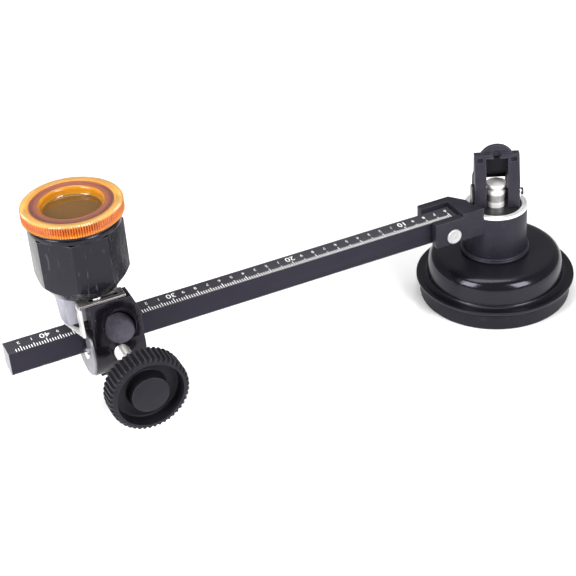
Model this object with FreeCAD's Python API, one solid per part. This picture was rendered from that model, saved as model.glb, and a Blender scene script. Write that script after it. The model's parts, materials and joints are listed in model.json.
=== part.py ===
import FreeCAD, Part
import math
import os

from FreeCAD import Vector

# Compass-type glass circle cutter. Millimetres, +Z up, origin at the centre of the suction
# cup's underside. The beam runs level along -X from the pivot to the cutter head, so a
# distance "out" is measured along -X from the pivot axis.

# ---- Shared clearances ------------------------------------------------------------
RUN_GAP = 0.05          # radial play of a pin or post in its bore
SLIDE_GAP = 0.10        # play on each side of the beam in the head
FORK_GAP = 0.20         # play on each side of the beam in the fork
FREE_GAP = 0.30         # air between pieces that pass each other
THRUST_GAP = 0.15       # end play of the swivelling sleeve

# ---- Suction cup and base cover ---------------------------------------------------
CUP_R = 31.5
CUP_H = 8.0
CUP_LIP = 3.0           # width of the flat sealing lip
CUP_HOLLOW = 3.2        # depth of the vacuum hollow at the middle
CUP_SKIN = 3.0          # rubber left over the hollow
CUP_SEAT = 5.0          # width of the raised rim the cover rests on
BOSS_R = 11.0
BOSS_TOP = 14.2
COVER_OVERHANG = 1.6    # cover flange past the cup
COVER_LIP = 1.2         # thickness of the cover's flange at its edge
COVER_WALL = 1.8
DOME_FOOT_IN = 2.9      # dome's foot in from the cup's edge
DOME_TAPER = 1.4
DOME_TOP = 20.2
DOME_CROWN = 0.4        # rise of the dome's top from shoulder to middle
DOME_ROUND = 2.6
FOOT_ROUND = 1.0

# ---- Pivot post, collar, chrome ring ----------------------------------------------
POST_R = 9.95
POST_FLANGE_LAP = 3.05
POST_FLANGE_T = 1.8
COLLAR_LAP = 1.3        # collar past the sleeve
COLLAR_H = 2.4
SLEEVE_WALL = 2.95
SLEEVE_LEN = 17.8
RING_LAP = 0.16         # ring past the sleeve
RING_RECESS_LAP = 0.55  # ring's recess past the post
RING_LAND = 1.35        # ring's seat in from the post
RING_WEB = 0.5
RING_RIM = 0.6
CAM_DISC_T = 0.3

# ---- Pull stem and cam lever ------------------------------------------------------
BASE_TURN = -25.0       # the lever faces this many degrees round from the beam
STEM_R = 4.0
STEM_HEAD_R = 4.1
STEM_NECK_R = 2.6
STEM_HEAD_T = 1.2
STEM_NECK_LEN = 1.0
STEM_CONE = 1.1
STEM_FOOT_R = 8.0
STEM_FOOT_T = 2.0
STEM_FOOT_Z = 7.0
LIFT = 2.5              # how far the lever pulls the stem up
PIN_ABOVE_RING = 4.8
STEM_ABOVE_PIN = 4.9
LEVER_PIN_R = 1.5
LEVER_W = 18.2
POCKET_W = 9.0
CAM_ROUND = 5.8
LEVER_FRONT = 4.8       # pin axis to the lever's front face at the pin
LEVER_BACK = 2.0        # pin axis to the back face of the grip
LEVER_HIP_BACK = 6.4    # pin axis to the back face over the stem's head
LEVER_HIP_RISE = 5.5
LEVER_WAIST_RISE = 9.6
LEVER_TIP_T = 2.8
LEVER_RISE = 17.9       # pin axis to the lever's shoulders
LEVER_WEB = 1.4
TAB_T = 1.6
TAB_SKIN = 0.5          # left behind the tab's blind hole
LEVER_BRIDGE = 1.6
TAB_W = 12.7
TAB_H = 3.6
TAB_HOLE_R = 1.9
PIT_W = 2.6             # small recess in each arm's front
PIT_H = 1.8
PIT_DROP = 1.1
PIT_DEPTH = 1.0
PIN_HEAD_R = 4.0
PIN_HEAD_T = 1.1
PIN_TAIL = 2.0
CLIP_R = 2.9
CLIP_T = 0.7
CLIP_GROOVE_R = 1.1

# ---- Swivelling fork --------------------------------------------------------------
FORK_WALL = 3.75        # each side of the slot, less the play
FORK_UNDER = 0.1        # below the beam
FORK_OVER = 2.0         # above the beam
FORK_LIP = 0.5          # front wall above the beam, low so that the scale shows
FORK_BRIDGE = 7.5       # sleeve to the closed end of the slot
FORK_SLOT_LEN = 12.4
FORK_CHAMFER_X = 4.6
FORK_CHAMFER_Y = 6.2
FORK_EDGE = 0.5

# ---- Beam -------------------------------------------------------------------------
BEAM_W = 8.5
BEAM_H = 10.0
BEAM_RISE = 3.75        # beam's top above the sleeve's
BEAM_IN_GAP = 0.5       # slot's closed end to the beam's end
BEAM_OUT = 208.8
BEAM_EDGE = 0.3
BEAM_LOWER_EDGE = 1.1
ARM_PIN_IN = 4.3        # slot's closed end to the pin
ARM_PIN_DROP = 1.7      # pin below the beam's middle
ARM_PIN_R = 2.0
ARM_PIN_HEAD_R = 3.2
ARM_PIN_HEAD_T = 0.8

# ---- Cutter head ------------------------------------------------------------------
HEAD_OUT = 169.4        # middle of the barrel
BARREL_DROP = 2.8       # barrel's axis below the beam's middle
BARREL_R = 13.1
BARREL_LEN = 19.3
END_PLATE_T = 1.0
END_PLATE_IN = 0.5      # plate in from the barrel's edge
END_SCREW_R = 2.3
END_SCREW_T = 1.3
END_SCREW_SHANK_R = 1.2
END_SCREW_LEN = 6.0
END_SCREW_FRONT = 2.65  # in front of the beam's face
END_SCREW_DROP = 2.7    # below the beam's middle
PLUG_ANGLE = 41.0       # plug's tilt above level, on the front side
PLUG_OUT = 168.1
PLUG_R = 5.9
PLUG_STAND = 1.4
PLUG_SPIGOT_R = 3.2
PLUG_SPIGOT_LEN = 2.0
PLUG_FLAT = 0.9         # how far the barrel is spot-faced for the plug

# ---- Clamp knob -------------------------------------------------------------------
KNOB_STAND = 30.3       # barrel to the knob's front face
KNOB_R = 15.0
KNOB_LEN = 9.5
KNOB_RIM = 2.4          # rim round the ring-shaped well in the knob's face
KNOB_WELL = 5.5
KNOB_BOSS_R = 7.4
KNOB_BOSS_IN = 0.2      # boss's face in from the rim's
KNOB_DRAFT = 0.4        # lean of the well's two walls
KNOB_HUB_WALL = 2.0
KNOB_HUB_LEN = 2.0
KNOB_RIDGES = 46
KNOB_RIDGE_R = 0.62
KNOB_ROUND = 1.2
STUD_R = 3.0
STUD_OVER = 0.5         # clamp screw's top above the beam's middle
STUD_IN_KNOB = 4.5
STUD_END_GAP = 1.3      # stud's end stands this far from the beam
PAD_R = 2.2
PAD_T = 0.9
PAD_TAIL_R = 1.2
PAD_TAIL = 2.0
PAD_GAP = 0.10

# ---- Neck, handle and cap ---------------------------------------------------------
HANDLE_OUT = 175.7      # handle axis
NECK_R = 10.8
NECK_TOP_R = 11.8
NECK_SINK = 0.2         # neck's seat below the barrel's top
NECK_LEN = 13.0
NECK_FRONT = 5.6        # handle axis to the flat on the front of the neck
NECK_SPIGOT_R = 3.0
NECK_SPIGOT_LEN = 3.4
HANDLE_R = 17.4         # over the corners of the octagon
HANDLE_TURN = 22.5
HANDLE_CHAMFER_R = 12.9
HANDLE_CHAMFER_H = 6.0
HANDLE_LEN = 25.2
HANDLE_WELL_DEPTH = 12.0
COLLAR_RIM_IN = 0.4     # collar in from the octagon's corners
COLLAR_RIM_H = 3.0
SPOUT_IN = 1.8          # spout in from the collar
SPOUT_WALL = 2.6
GASKET_H = 0.6
CAP_LAP = 1.4           # cap past the collar
CAP_SKIRT = 5.0
CAP_TOP_T = 2.2
CAP_DISH = 3.4          # depth of the cup sunk in the cap
CAP_CUP_WALL = 1.1
CAP_CUP_FLOOR = 1.2
CAP_STEP_LAP = 0.1      # step in the cap past the spout
CAP_STEP = 0.4
CAP_TEETH = 124
CAP_TOOTH = 0.30
CAP_LIFT = 2.25

# ---- Scale pointer ----------------------------------------------------------------
PED_OUT_IN = 162.6      # inner and outer ends of the pedestal under the pointer
PED_OUT_OUT = 178.6
PED_FRONT_IN = 0.7      # in from the barrel's front
PED_RISE = 9.3          # above the barrel
PED_SLOPE_H = 7.4       # height of the slope at the pedestal's inner end
POINTER_T = 0.8
POINTER_LEN = 17.0
POINTER_MARGIN = 0.6
SLOT_LEN = 11.6
SLOT_R = 1.25
SLOT_SHIFT = 1.6        # slot's middle beyond the pedestal's middle
POINTER_TRAVEL = 2.0
POINTER_ABOVE_BEAM = 2.2
POINTER_TONGUE_OUT = 4.4
POINTER_TONGUE_PAST = 1.6
POINTER_NOTCH = 1.4
PLATE_SCREW_R = 2.1
PLATE_SCREW_T = 1.2
PLATE_SCREW_SHANK_R = 1.1
PLATE_SCREW_LEN = 6.0

# ---- Cutting turret ---------------------------------------------------------------
WHEEL_OUT = 165.9       # plane of the cutting wheels
WHEEL_R = 2.6
WHEEL_T = 1.1
WHEEL_BORE_R = 0.75
WHEEL_COUNT = 6
TURRET_PITCH_R = 5.4
TURRET_R = 7.1
TURRET_T = 4.4
TURRET_SLOT = 1.8
TURRET_SLOT_R = 3.1
AXLE_LEN = 3.8
LEG_T = 3.6
LEG_W = 9.0
LEG_GAP = 0.30
LEG_FOOT_L = 12.0
LEG_FOOT_T = 2.0
TURRET_SCREW_R = 1.6
TURRET_SCREW_HEAD_R = 2.9
TURRET_SCREW_HEAD_T = 1.3
LEG_SCREW_R = 1.2
LEG_SCREW_HEAD_R = 2.0
LEG_SCREW_HEAD_T = 1.0
LEG_SCREW_LEN = 3.0

# ---- Sizes and places that follow -------------------------------------------------
COVER_R = CUP_R + COVER_OVERHANG
DOME_FOOT_R = CUP_R - DOME_FOOT_IN
DOME_SHOULDER_R = DOME_FOOT_R - DOME_TAPER
POST_FLANGE_R = POST_R + POST_FLANGE_LAP
SLEEVE_R = POST_R + SLEEVE_WALL
SLEEVE_BORE_R = POST_R + RUN_GAP
COLLAR_R = SLEEVE_R + COLLAR_LAP
RING_R = SLEEVE_R + RING_LAP
RING_IN_R = POST_R + RING_RECESS_LAP
RING_LAND_R = POST_R - RING_LAND
STEM_BORE_R = STEM_R + RUN_GAP
COVER_TOP = DOME_TOP + DOME_CROWN
COLLAR_Z = COVER_TOP
SLEEVE_Z = COLLAR_Z + COLLAR_H + THRUST_GAP
SLEEVE_TOP = SLEEVE_Z + SLEEVE_LEN
RING_Z = SLEEVE_TOP + THRUST_GAP
RING_WEB_TOP = RING_Z + RING_WEB
RING_TOP = RING_WEB_TOP + RING_RIM
LEVER_PIN_Z = RING_TOP + PIN_ABOVE_RING
CAM_LOW = PIN_ABOVE_RING - FREE_GAP
CAM_BACK = CAM_LOW + LIFT
WEB_BOTTOM = LEVER_PIN_Z + STEM_R + FREE_GAP
BEAM_TOP = SLEEVE_TOP + BEAM_RISE
BEAM_MID = BEAM_TOP - BEAM_H / 2
BEAM_BOTTOM = BEAM_TOP - BEAM_H
FORK_W = BEAM_W + 2 * FORK_WALL
FORK_BOTTOM = BEAM_BOTTOM - FORK_UNDER
FORK_TOP = BEAM_TOP + FORK_OVER
FORK_THROAT = SLEEVE_R + FORK_BRIDGE
FORK_OUT = FORK_THROAT + FORK_SLOT_LEN
BEAM_IN = FORK_THROAT + BEAM_IN_GAP
ARM_PIN_OUT = FORK_THROAT + ARM_PIN_IN
ARM_PIN_Z = BEAM_MID - ARM_PIN_DROP
BARREL_IN = HEAD_OUT - BARREL_LEN / 2
BARREL_OUT = HEAD_OUT + BARREL_LEN / 2
BARREL_MID = BEAM_MID - BARREL_DROP
BARREL_TOP = BARREL_MID + BARREL_R
BARREL_BOTTOM = BARREL_MID - BARREL_R
END_PLATE_R = BARREL_R - END_PLATE_IN
KNOB_FACE = BARREL_R + KNOB_STAND
KNOB_HUB_R = STUD_R + KNOB_HUB_WALL
STUD_Z = BEAM_MID + STUD_OVER - STUD_R
NECK_BOTTOM = BARREL_TOP - NECK_SINK
NECK_TOP = NECK_BOTTOM + NECK_LEN
HANDLE_SHOULDER = NECK_TOP + HANDLE_CHAMFER_H
HANDLE_TOP = NECK_TOP + HANDLE_LEN
HANDLE_WELL_FLOOR = HANDLE_TOP - HANDLE_WELL_DEPTH
COLLAR_RIM_R = HANDLE_R - COLLAR_RIM_IN
COLLAR_RIM_Z = HANDLE_TOP
SPOUT_R = COLLAR_RIM_R - SPOUT_IN
SPOUT_Z = COLLAR_RIM_Z + COLLAR_RIM_H
HANDLE_WELL_R = SPOUT_R - SPOUT_WALL
CAP_R = COLLAR_RIM_R + CAP_LAP
CAP_IN_R = SPOUT_R + FREE_GAP
CAP_CUP_R = HANDLE_WELL_R - FREE_GAP
CAP_DISH_R = CAP_CUP_R - CAP_CUP_WALL
CAP_STEP_R = SPOUT_R + CAP_STEP_LAP
CAP_Z = SPOUT_Z + GASKET_H
CAP_TOP = CAP_Z + CAP_SKIRT
SPOUT_TOP = CAP_TOP - CAP_TOP_T - FREE_GAP
PED_FRONT = BARREL_R - PED_FRONT_IN
PED_BACK = NECK_FRONT
PED_TOP = BARREL_TOP + PED_RISE
TURRET_Z = WHEEL_R + TURRET_PITCH_R
LEG_IN = WHEEL_OUT + TURRET_T / 2 + LEG_GAP
LEG_OUT = LEG_IN + LEG_T


def cylinder(radius, height, base, axis=Vector(0, 0, 1)):
    return Part.makeCylinder(radius, height, base, axis)


def box(x0, x1, y0, y1, z0, z1):
    return Part.makeBox(x1 - x0, y1 - y0, z1 - z0, Vector(x0, y0, z0))


def out_box(near, far, y0, y1, z0, z1):
    """A box whose ends are given as distances out from the pivot axis."""
    return box(-far, -near, y0, y1, z0, z1)


def turned(points):
    """Revolve a closed outline of (radius, height) points about the Z axis."""
    corners = [Vector(r, 0, z) for r, z in points]
    face = Part.Face(Part.makePolygon(corners + corners[:1]))
    return face.revolve(Vector(0, 0, 0), Vector(0, 0, 1), 360)


def prism(points, direction):
    corners = [Vector(*point) for point in points]
    return Part.Face(Part.makePolygon(corners + corners[:1])).extrude(direction)


def edges_at(shape, test):
    return [edge for edge in shape.Edges if test(edge)]


def circle_edges(shape, radius, height):
    def is_match(edge):
        curve = edge.Curve
        if not isinstance(curve, Part.Circle):
            return False
        return abs(curve.Radius - radius) < 1e-4 and abs(curve.Center.z - height) < 1e-4

    return edges_at(shape, is_match)


def face_lever(shape):
    """Turn a base piece from the beam's direction to the lever's."""
    turned_shape = shape.copy()
    turned_shape.rotate(Vector(0, 0, 0), Vector(0, 0, 1), BASE_TURN)
    return turned_shape


# ---- Base -------------------------------------------------------------------------

def make_suction_cup():
    seat_in = CUP_R - CUP_SEAT
    hollow_r = CUP_R - CUP_LIP
    skin_top = CUP_HOLLOW + CUP_SKIN
    pocket_top = STEM_FOOT_Z + STEM_FOOT_T + LIFT + FREE_GAP
    pocket_r = STEM_FOOT_R + FREE_GAP
    neck_r = STEM_R + FREE_GAP
    return turned([
        (0, CUP_HOLLOW), (hollow_r, 0), (CUP_R, 0), (CUP_R, CUP_H), (seat_in, CUP_H),
        (seat_in, skin_top), (BOSS_R, skin_top), (BOSS_R, BOSS_TOP), (neck_r, BOSS_TOP),
        (neck_r, pocket_top), (pocket_r, pocket_top), (pocket_r, STEM_FOOT_Z),
        (0, STEM_FOOT_Z),
    ])


def make_base_cover():
    under = DOME_TOP - COVER_WALL
    outer = turned([
        (0, CUP_H), (COVER_R, CUP_H), (COVER_R, CUP_H + COVER_LIP),
        (DOME_FOOT_R, CUP_H + COVER_LIP), (DOME_SHOULDER_R, DOME_TOP), (POST_R, COVER_TOP),
        (0, COVER_TOP),
    ])
    outer = outer.makeFillet(DOME_ROUND, circle_edges(outer, DOME_SHOULDER_R, DOME_TOP))
    outer = outer.makeFillet(FOOT_ROUND, circle_edges(outer, DOME_FOOT_R, CUP_H + COVER_LIP))
    outer = outer.makeFillet(COVER_LIP / 3, circle_edges(outer, COVER_R, CUP_H + COVER_LIP))
    inner = turned([
        (0, CUP_H), (DOME_FOOT_R - COVER_WALL, CUP_H),
        (DOME_SHOULDER_R - COVER_WALL, under), (0, under),
    ])
    shell = outer.cut(inner)
    return shell.cut(cylinder(POST_R, COVER_TOP, Vector(0, 0, 0)))


def make_pivot_post():
    under = DOME_TOP - COVER_WALL
    post = turned([
        (STEM_BORE_R, under - POST_FLANGE_T), (POST_FLANGE_R, under - POST_FLANGE_T),
        (POST_FLANGE_R, under), (POST_R, under), (POST_R, RING_Z), (RING_LAND_R, RING_Z),
        (RING_LAND_R, RING_WEB_TOP), (STEM_BORE_R, RING_WEB_TOP),
    ])
    return post


def make_lower_collar():
    collar = turned([
        (POST_R, COLLAR_Z), (COLLAR_R, COLLAR_Z), (COLLAR_R, COLLAR_Z + COLLAR_H),
        (POST_R, COLLAR_Z + COLLAR_H),
    ])
    return collar.makeChamfer(FORK_EDGE, circle_edges(collar, COLLAR_R, COLLAR_Z + COLLAR_H))


def make_chrome_ring():
    ring = turned([
        (RING_LAND_R, RING_Z), (RING_R, RING_Z), (RING_R, RING_TOP), (RING_IN_R, RING_TOP),
        (RING_IN_R, RING_WEB_TOP), (RING_LAND_R, RING_WEB_TOP),
    ])
    return ring.makeFillet(RING_RIM / 3, circle_edges(ring, RING_R, RING_TOP))


def make_cam_disc():
    return turned([
        (STEM_BORE_R, RING_WEB_TOP), (RING_IN_R, RING_WEB_TOP),
        (RING_IN_R, RING_WEB_TOP + CAM_DISC_T), (STEM_BORE_R, RING_WEB_TOP + CAM_DISC_T),
    ])


# ---- Pull stem and lever ----------------------------------------------------------

def make_pull_stem():
    top = LEVER_PIN_Z + STEM_ABOVE_PIN
    neck_top = top - STEM_HEAD_T
    neck_low = neck_top - STEM_NECK_LEN
    stem = turned([
        (0, STEM_FOOT_Z + STEM_FOOT_T), (STEM_R, STEM_FOOT_Z + STEM_FOOT_T),
        (STEM_R, neck_low - STEM_CONE), (STEM_NECK_R, neck_low), (STEM_NECK_R, neck_top),
        (STEM_HEAD_R, neck_top), (STEM_HEAD_R, top), (0, top),
    ])
    stem = stem.makeFillet(STEM_HEAD_T / 4, circle_edges(stem, STEM_HEAD_R, top))
    across = cylinder(LEVER_PIN_R + RUN_GAP, 4 * STEM_R, Vector(-2 * STEM_R, 0, LEVER_PIN_Z),
                      Vector(1, 0, 0))
    return face_lever(stem.cut(across))


def make_stem_foot():
    return cylinder(STEM_FOOT_R, STEM_FOOT_T, Vector(0, 0, STEM_FOOT_Z))


def lever_back_line(inset):
    """The lever's back from cam to grip as (y, z) points, moved in by inset."""
    return [
        (CAM_BACK - inset, LEVER_PIN_Z - CAM_LOW + CAM_ROUND),
        (LEVER_HIP_BACK - inset, LEVER_PIN_Z + LEVER_HIP_RISE),
        (LEVER_BACK - inset, LEVER_PIN_Z + LEVER_WAIST_RISE),
        (LEVER_BACK - inset, LEVER_PIN_Z + LEVER_RISE),
    ]


def make_cam_lever():
    half = LEVER_W / 2
    shoulder = LEVER_PIN_Z + LEVER_RISE
    low = LEVER_PIN_Z - CAM_LOW
    arc_y = CAM_BACK - CAM_ROUND
    arc_z = low + CAM_ROUND
    cam_top = arc_z + (CAM_BACK - LEVER_BACK)
    start = Vector(0, arc_y, low)
    middle = Vector(0, arc_y + CAM_ROUND * math.sin(math.radians(45)),
                    arc_z - CAM_ROUND * math.cos(math.radians(45)))
    end = Vector(0, CAM_BACK, arc_z)
    corners = [Vector(0, y, z) for y, z in lever_back_line(0)]
    corners += [Vector(0, LEVER_BACK - LEVER_TIP_T, shoulder), Vector(0, -LEVER_FRONT, cam_top),
                Vector(0, -LEVER_FRONT, low), start]
    outline = [Part.makeLine(a, b) for a, b in zip(corners, corners[1:])]
    side = Part.Face(Part.Wire([Part.Arc(start, middle, end).toShape()] + outline))
    body = side.extrude(Vector(LEVER_W, 0, 0))
    body.translate(Vector(-half, 0, 0))
    depth = CAM_BACK + LEVER_FRONT
    hollow = [(-2 * depth, shoulder), (-2 * depth, arc_z)] + lever_back_line(LEVER_WEB)
    pocket = prism([(-POCKET_W / 2, y, z) for y, z in hollow], Vector(POCKET_W, 0, 0))
    pocket = pocket.common(box(-POCKET_W / 2, POCKET_W / 2, -2 * depth, 2 * depth, WEB_BOTTOM,
                               shoulder - LEVER_BRIDGE))
    through = box(-POCKET_W / 2, POCKET_W / 2, -2 * depth, 2 * depth, low - depth, WEB_BOTTOM)
    body = body.cut(pocket).cut(through)
    tab_r = (TAB_W ** 2 / 4 + TAB_H ** 2) / (2 * TAB_H)
    tab_z = shoulder + TAB_H - tab_r
    tab = cylinder(tab_r, TAB_T, Vector(0, LEVER_BACK - TAB_T, tab_z), Vector(0, 1, 0))
    tab = tab.common(box(-half, half, -depth, depth, shoulder - LEVER_BRIDGE, shoulder + 2 * TAB_H))
    body = body.fuse(tab).removeSplitter()
    hole_z = shoulder + TAB_H - 2 * TAB_HOLE_R
    body = body.cut(cylinder(TAB_HOLE_R, 2 * depth,
                             Vector(0, LEVER_BACK - TAB_SKIN - 2 * depth, hole_z),
                             Vector(0, 1, 0)))
    arm = (half + POCKET_W / 2) / 2
    pit_top = shoulder - PIT_DROP
    pit_back = LEVER_BACK - LEVER_TIP_T + PIT_DEPTH - PIT_DROP / 2
    for side_x in (-arm, arm):
        body = body.cut(box(side_x - PIT_W / 2, side_x + PIT_W / 2, -2 * depth, pit_back,
                            pit_top - PIT_H, pit_top))
    bore = cylinder(LEVER_PIN_R, 2 * LEVER_W, Vector(-LEVER_W, 0, LEVER_PIN_Z), Vector(1, 0, 0))
    return face_lever(body.cut(bore))


def make_lever_pin():
    half = LEVER_W / 2
    shank = cylinder(LEVER_PIN_R, LEVER_W + PIN_TAIL, Vector(-half, 0, LEVER_PIN_Z),
                     Vector(1, 0, 0))
    head = cylinder(PIN_HEAD_R, PIN_HEAD_T, Vector(-half - PIN_HEAD_T, 0, LEVER_PIN_Z),
                    Vector(1, 0, 0))
    pin = shank.fuse(head).removeSplitter()
    groove = cylinder(PIN_HEAD_R, CLIP_T, Vector(half, 0, LEVER_PIN_Z), Vector(1, 0, 0))
    groove = groove.cut(cylinder(CLIP_GROOVE_R, CLIP_T, Vector(half, 0, LEVER_PIN_Z),
                                 Vector(1, 0, 0)))
    return face_lever(pin.cut(groove))


def make_pin_clip():
    half = LEVER_W / 2
    clip = cylinder(CLIP_R, CLIP_T, Vector(half, 0, LEVER_PIN_Z), Vector(1, 0, 0))
    clip = clip.cut(cylinder(CLIP_GROOVE_R, CLIP_T, Vector(half, 0, LEVER_PIN_Z),
                             Vector(1, 0, 0)))
    mouth = box(half, half + CLIP_T, -CLIP_GROOVE_R, CLIP_GROOVE_R, LEVER_PIN_Z,
                LEVER_PIN_Z + 2 * CLIP_R)
    return face_lever(clip.cut(mouth))


# ---- Fork and beam ----------------------------------------------------------------

def make_swivel_fork():
    half = FORK_W / 2
    inner = SLEEVE_R + FREE_GAP + RING_RIM / 3
    sleeve = cylinder(SLEEVE_R, SLEEVE_LEN, Vector(0, 0, SLEEVE_Z))
    low = out_box(0, FORK_OUT, -half, half, FORK_BOTTOM, SLEEVE_TOP)
    shoulder_out = inner + FORK_CHAMFER_X
    high = prism([
        (-FORK_OUT, -half, SLEEVE_TOP), (-FORK_OUT, half, SLEEVE_TOP),
        (-shoulder_out, half, SLEEVE_TOP), (-inner, half - FORK_CHAMFER_Y, SLEEVE_TOP),
        (0, half - FORK_CHAMFER_Y, SLEEVE_TOP), (0, -half, SLEEVE_TOP),
    ], Vector(0, 0, FORK_TOP - SLEEVE_TOP))
    high = high.cut(cylinder(RING_R + FREE_GAP, FORK_TOP, Vector(0, 0, SLEEVE_TOP)))
    body = sleeve.fuse(low).fuse(high).removeSplitter()
    corners = edges_at(body, lambda edge: is_upright_at(edge, FORK_OUT))
    body = body.makeChamfer(FORK_EDGE, corners)
    slot_half = BEAM_W / 2 + FORK_GAP
    slot = out_box(FORK_THROAT, 2 * FORK_OUT, -slot_half, slot_half, 0, 2 * FORK_TOP)
    window = out_box(FORK_THROAT, 2 * FORK_OUT, -FORK_W, -slot_half, BEAM_TOP + FORK_LIP,
                     2 * FORK_TOP)
    body = body.cut(slot).cut(window)
    body = body.cut(cylinder(SLEEVE_BORE_R, 2 * FORK_TOP, Vector(0, 0, 0)))
    pin_bore = cylinder(ARM_PIN_R, 2 * FORK_W, Vector(-ARM_PIN_OUT, -FORK_W, ARM_PIN_Z),
                        Vector(0, 1, 0))
    return body.cut(pin_bore)


def is_upright_at(edge, out):
    first = edge.Vertexes[0].Point
    last = edge.Vertexes[-1].Point
    upright = abs(first.x - last.x) < 1e-6 and abs(first.y - last.y) < 1e-6
    return upright and abs(first.x + out) < 1e-6


def make_fork_pin():
    half = FORK_W / 2
    shank = cylinder(ARM_PIN_R, FORK_W, Vector(-ARM_PIN_OUT, -half, ARM_PIN_Z),
                     Vector(0, 1, 0))
    front = cylinder(ARM_PIN_HEAD_R, ARM_PIN_HEAD_T,
                     Vector(-ARM_PIN_OUT, -half - ARM_PIN_HEAD_T, ARM_PIN_Z), Vector(0, 1, 0))
    back = cylinder(ARM_PIN_HEAD_R, ARM_PIN_HEAD_T, Vector(-ARM_PIN_OUT, half, ARM_PIN_Z),
                    Vector(0, 1, 0))
    return shank.fuse(front).fuse(back).removeSplitter()


def make_beam_bar():
    half = BEAM_W / 2
    low = BEAM_LOWER_EDGE
    top = BEAM_EDGE
    section = [
        (-half, BEAM_BOTTOM + low), (-half, BEAM_TOP - top), (-half + top, BEAM_TOP),
        (half - top, BEAM_TOP), (half, BEAM_TOP - top), (half, BEAM_BOTTOM + low),
        (half - low, BEAM_BOTTOM), (-half + low, BEAM_BOTTOM),
    ]
    bar = prism([(-BEAM_OUT, y, z) for y, z in section], Vector(BEAM_OUT - BEAM_IN, 0, 0))
    bore = cylinder(ARM_PIN_R + RUN_GAP, 2 * BEAM_W, Vector(-ARM_PIN_OUT, -BEAM_W, ARM_PIN_Z),
                    Vector(0, 1, 0))
    return bar.cut(bore)


# ---- Cutter head ------------------------------------------------------------------

def beam_hole(near, far):
    half = BEAM_W / 2 + SLIDE_GAP
    return out_box(near, far, -half, half, BEAM_BOTTOM - SLIDE_GAP, BEAM_TOP + SLIDE_GAP)


def plug_axis():
    angle = math.radians(PLUG_ANGLE)
    return Vector(0, -math.cos(angle), math.sin(angle))


def plug_seat():
    """Where the plug's flange meets the spot face on the barrel."""
    return Vector(-PLUG_OUT, 0, BARREL_MID) + plug_axis() * (BARREL_R - PLUG_FLAT)


def neck_shape(bottom, top):
    slope = (NECK_TOP_R - NECK_R) / (NECK_TOP - NECK_BOTTOM)
    low_r = NECK_R + slope * (bottom - NECK_BOTTOM)
    high_r = NECK_R + slope * (top - NECK_BOTTOM)
    cone = Part.makeCone(low_r, high_r, top - bottom, Vector(-HANDLE_OUT, 0, bottom))
    front = out_box(HANDLE_OUT - HANDLE_R, HANDLE_OUT + HANDLE_R, -2 * HANDLE_R, -NECK_FRONT,
                    bottom, top)
    return cone.cut(front)


def make_head_barrel():
    barrel = cylinder(BARREL_R, BARREL_LEN, Vector(-BARREL_OUT, 0, BARREL_MID), Vector(1, 0, 0))
    pedestal = prism([
        (-PED_OUT_IN, -PED_FRONT, PED_TOP), (-PED_OUT_OUT, -PED_FRONT, PED_TOP),
        (-PED_OUT_OUT, -PED_FRONT, BEAM_MID), (-BARREL_IN, -PED_FRONT, BEAM_MID),
        (-BARREL_IN, -PED_FRONT, PED_TOP - PED_SLOPE_H),
    ], Vector(0, PED_FRONT - PED_BACK, 0))
    body = barrel.fuse(pedestal).removeSplitter()
    body = body.cut(neck_shape(NECK_BOTTOM, NECK_TOP)).cut(neck_spigot())
    body = body.cut(beam_hole(BARREL_IN - 1, PED_OUT_OUT + 1))
    axis = plug_axis()
    body = body.cut(cylinder(PLUG_R, BARREL_R, plug_seat(), axis))
    body = body.cut(cylinder(PLUG_SPIGOT_R, PLUG_SPIGOT_LEN, plug_seat()
                             - axis * PLUG_SPIGOT_LEN, axis))
    body = body.cut(cylinder(STUD_R + RUN_GAP, 2 * BARREL_R,
                             Vector(-HEAD_OUT, -2 * BARREL_R, STUD_Z), Vector(0, 1, 0)))
    for place in end_screw_places():
        body = body.cut(cylinder(END_SCREW_SHANK_R, END_SCREW_LEN, place, Vector(1, 0, 0)))
    body = body.cut(plate_screw_shank())
    body = body.cut(leg_foot())
    for place in leg_screw_places():
        body = body.cut(leg_screw_shank(place))
    return body


def end_screw_places():
    return [Vector(-BARREL_OUT, -BEAM_W / 2 - END_SCREW_FRONT, BEAM_MID - END_SCREW_DROP)]


def make_end_plate():
    face = Vector(-BARREL_OUT - END_PLATE_T, 0, BARREL_MID)
    plate = cylinder(END_PLATE_R, END_PLATE_T, face, Vector(1, 0, 0))
    plate = plate.cut(neck_shape(NECK_BOTTOM, NECK_TOP))
    plate = plate.cut(beam_hole(BARREL_OUT - 1, BARREL_OUT + 2 * END_PLATE_T))
    plate = plate.cut(out_box(BARREL_OUT - 1, BARREL_OUT + 2 * END_PLATE_T, -BARREL_R,
                              BARREL_R, BEAM_TOP, BEAM_TOP + BARREL_R))
    for place in end_screw_places():
        plate = plate.cut(cylinder(END_SCREW_SHANK_R, 4 * END_PLATE_T,
                                   place - Vector(2 * END_PLATE_T, 0, 0), Vector(1, 0, 0)))
    return plate


def make_end_screw():
    place = end_screw_places()[0]
    head_at = place - Vector(END_PLATE_T + END_SCREW_T, 0, 0)
    head = cylinder(END_SCREW_R, END_SCREW_T, head_at, Vector(1, 0, 0))
    shank = cylinder(END_SCREW_SHANK_R, END_SCREW_LEN + END_PLATE_T,
                     place - Vector(END_PLATE_T, 0, 0), Vector(1, 0, 0))
    return head.fuse(shank).removeSplitter()


def make_barrel_plug():
    axis = plug_axis()
    cap = cylinder(PLUG_R - FREE_GAP / 2, PLUG_STAND, plug_seat(), axis)
    spigot = cylinder(PLUG_SPIGOT_R, PLUG_SPIGOT_LEN, plug_seat() - axis * PLUG_SPIGOT_LEN, axis)
    return cap.fuse(spigot).removeSplitter()


# ---- Clamp knob -------------------------------------------------------------------

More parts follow.
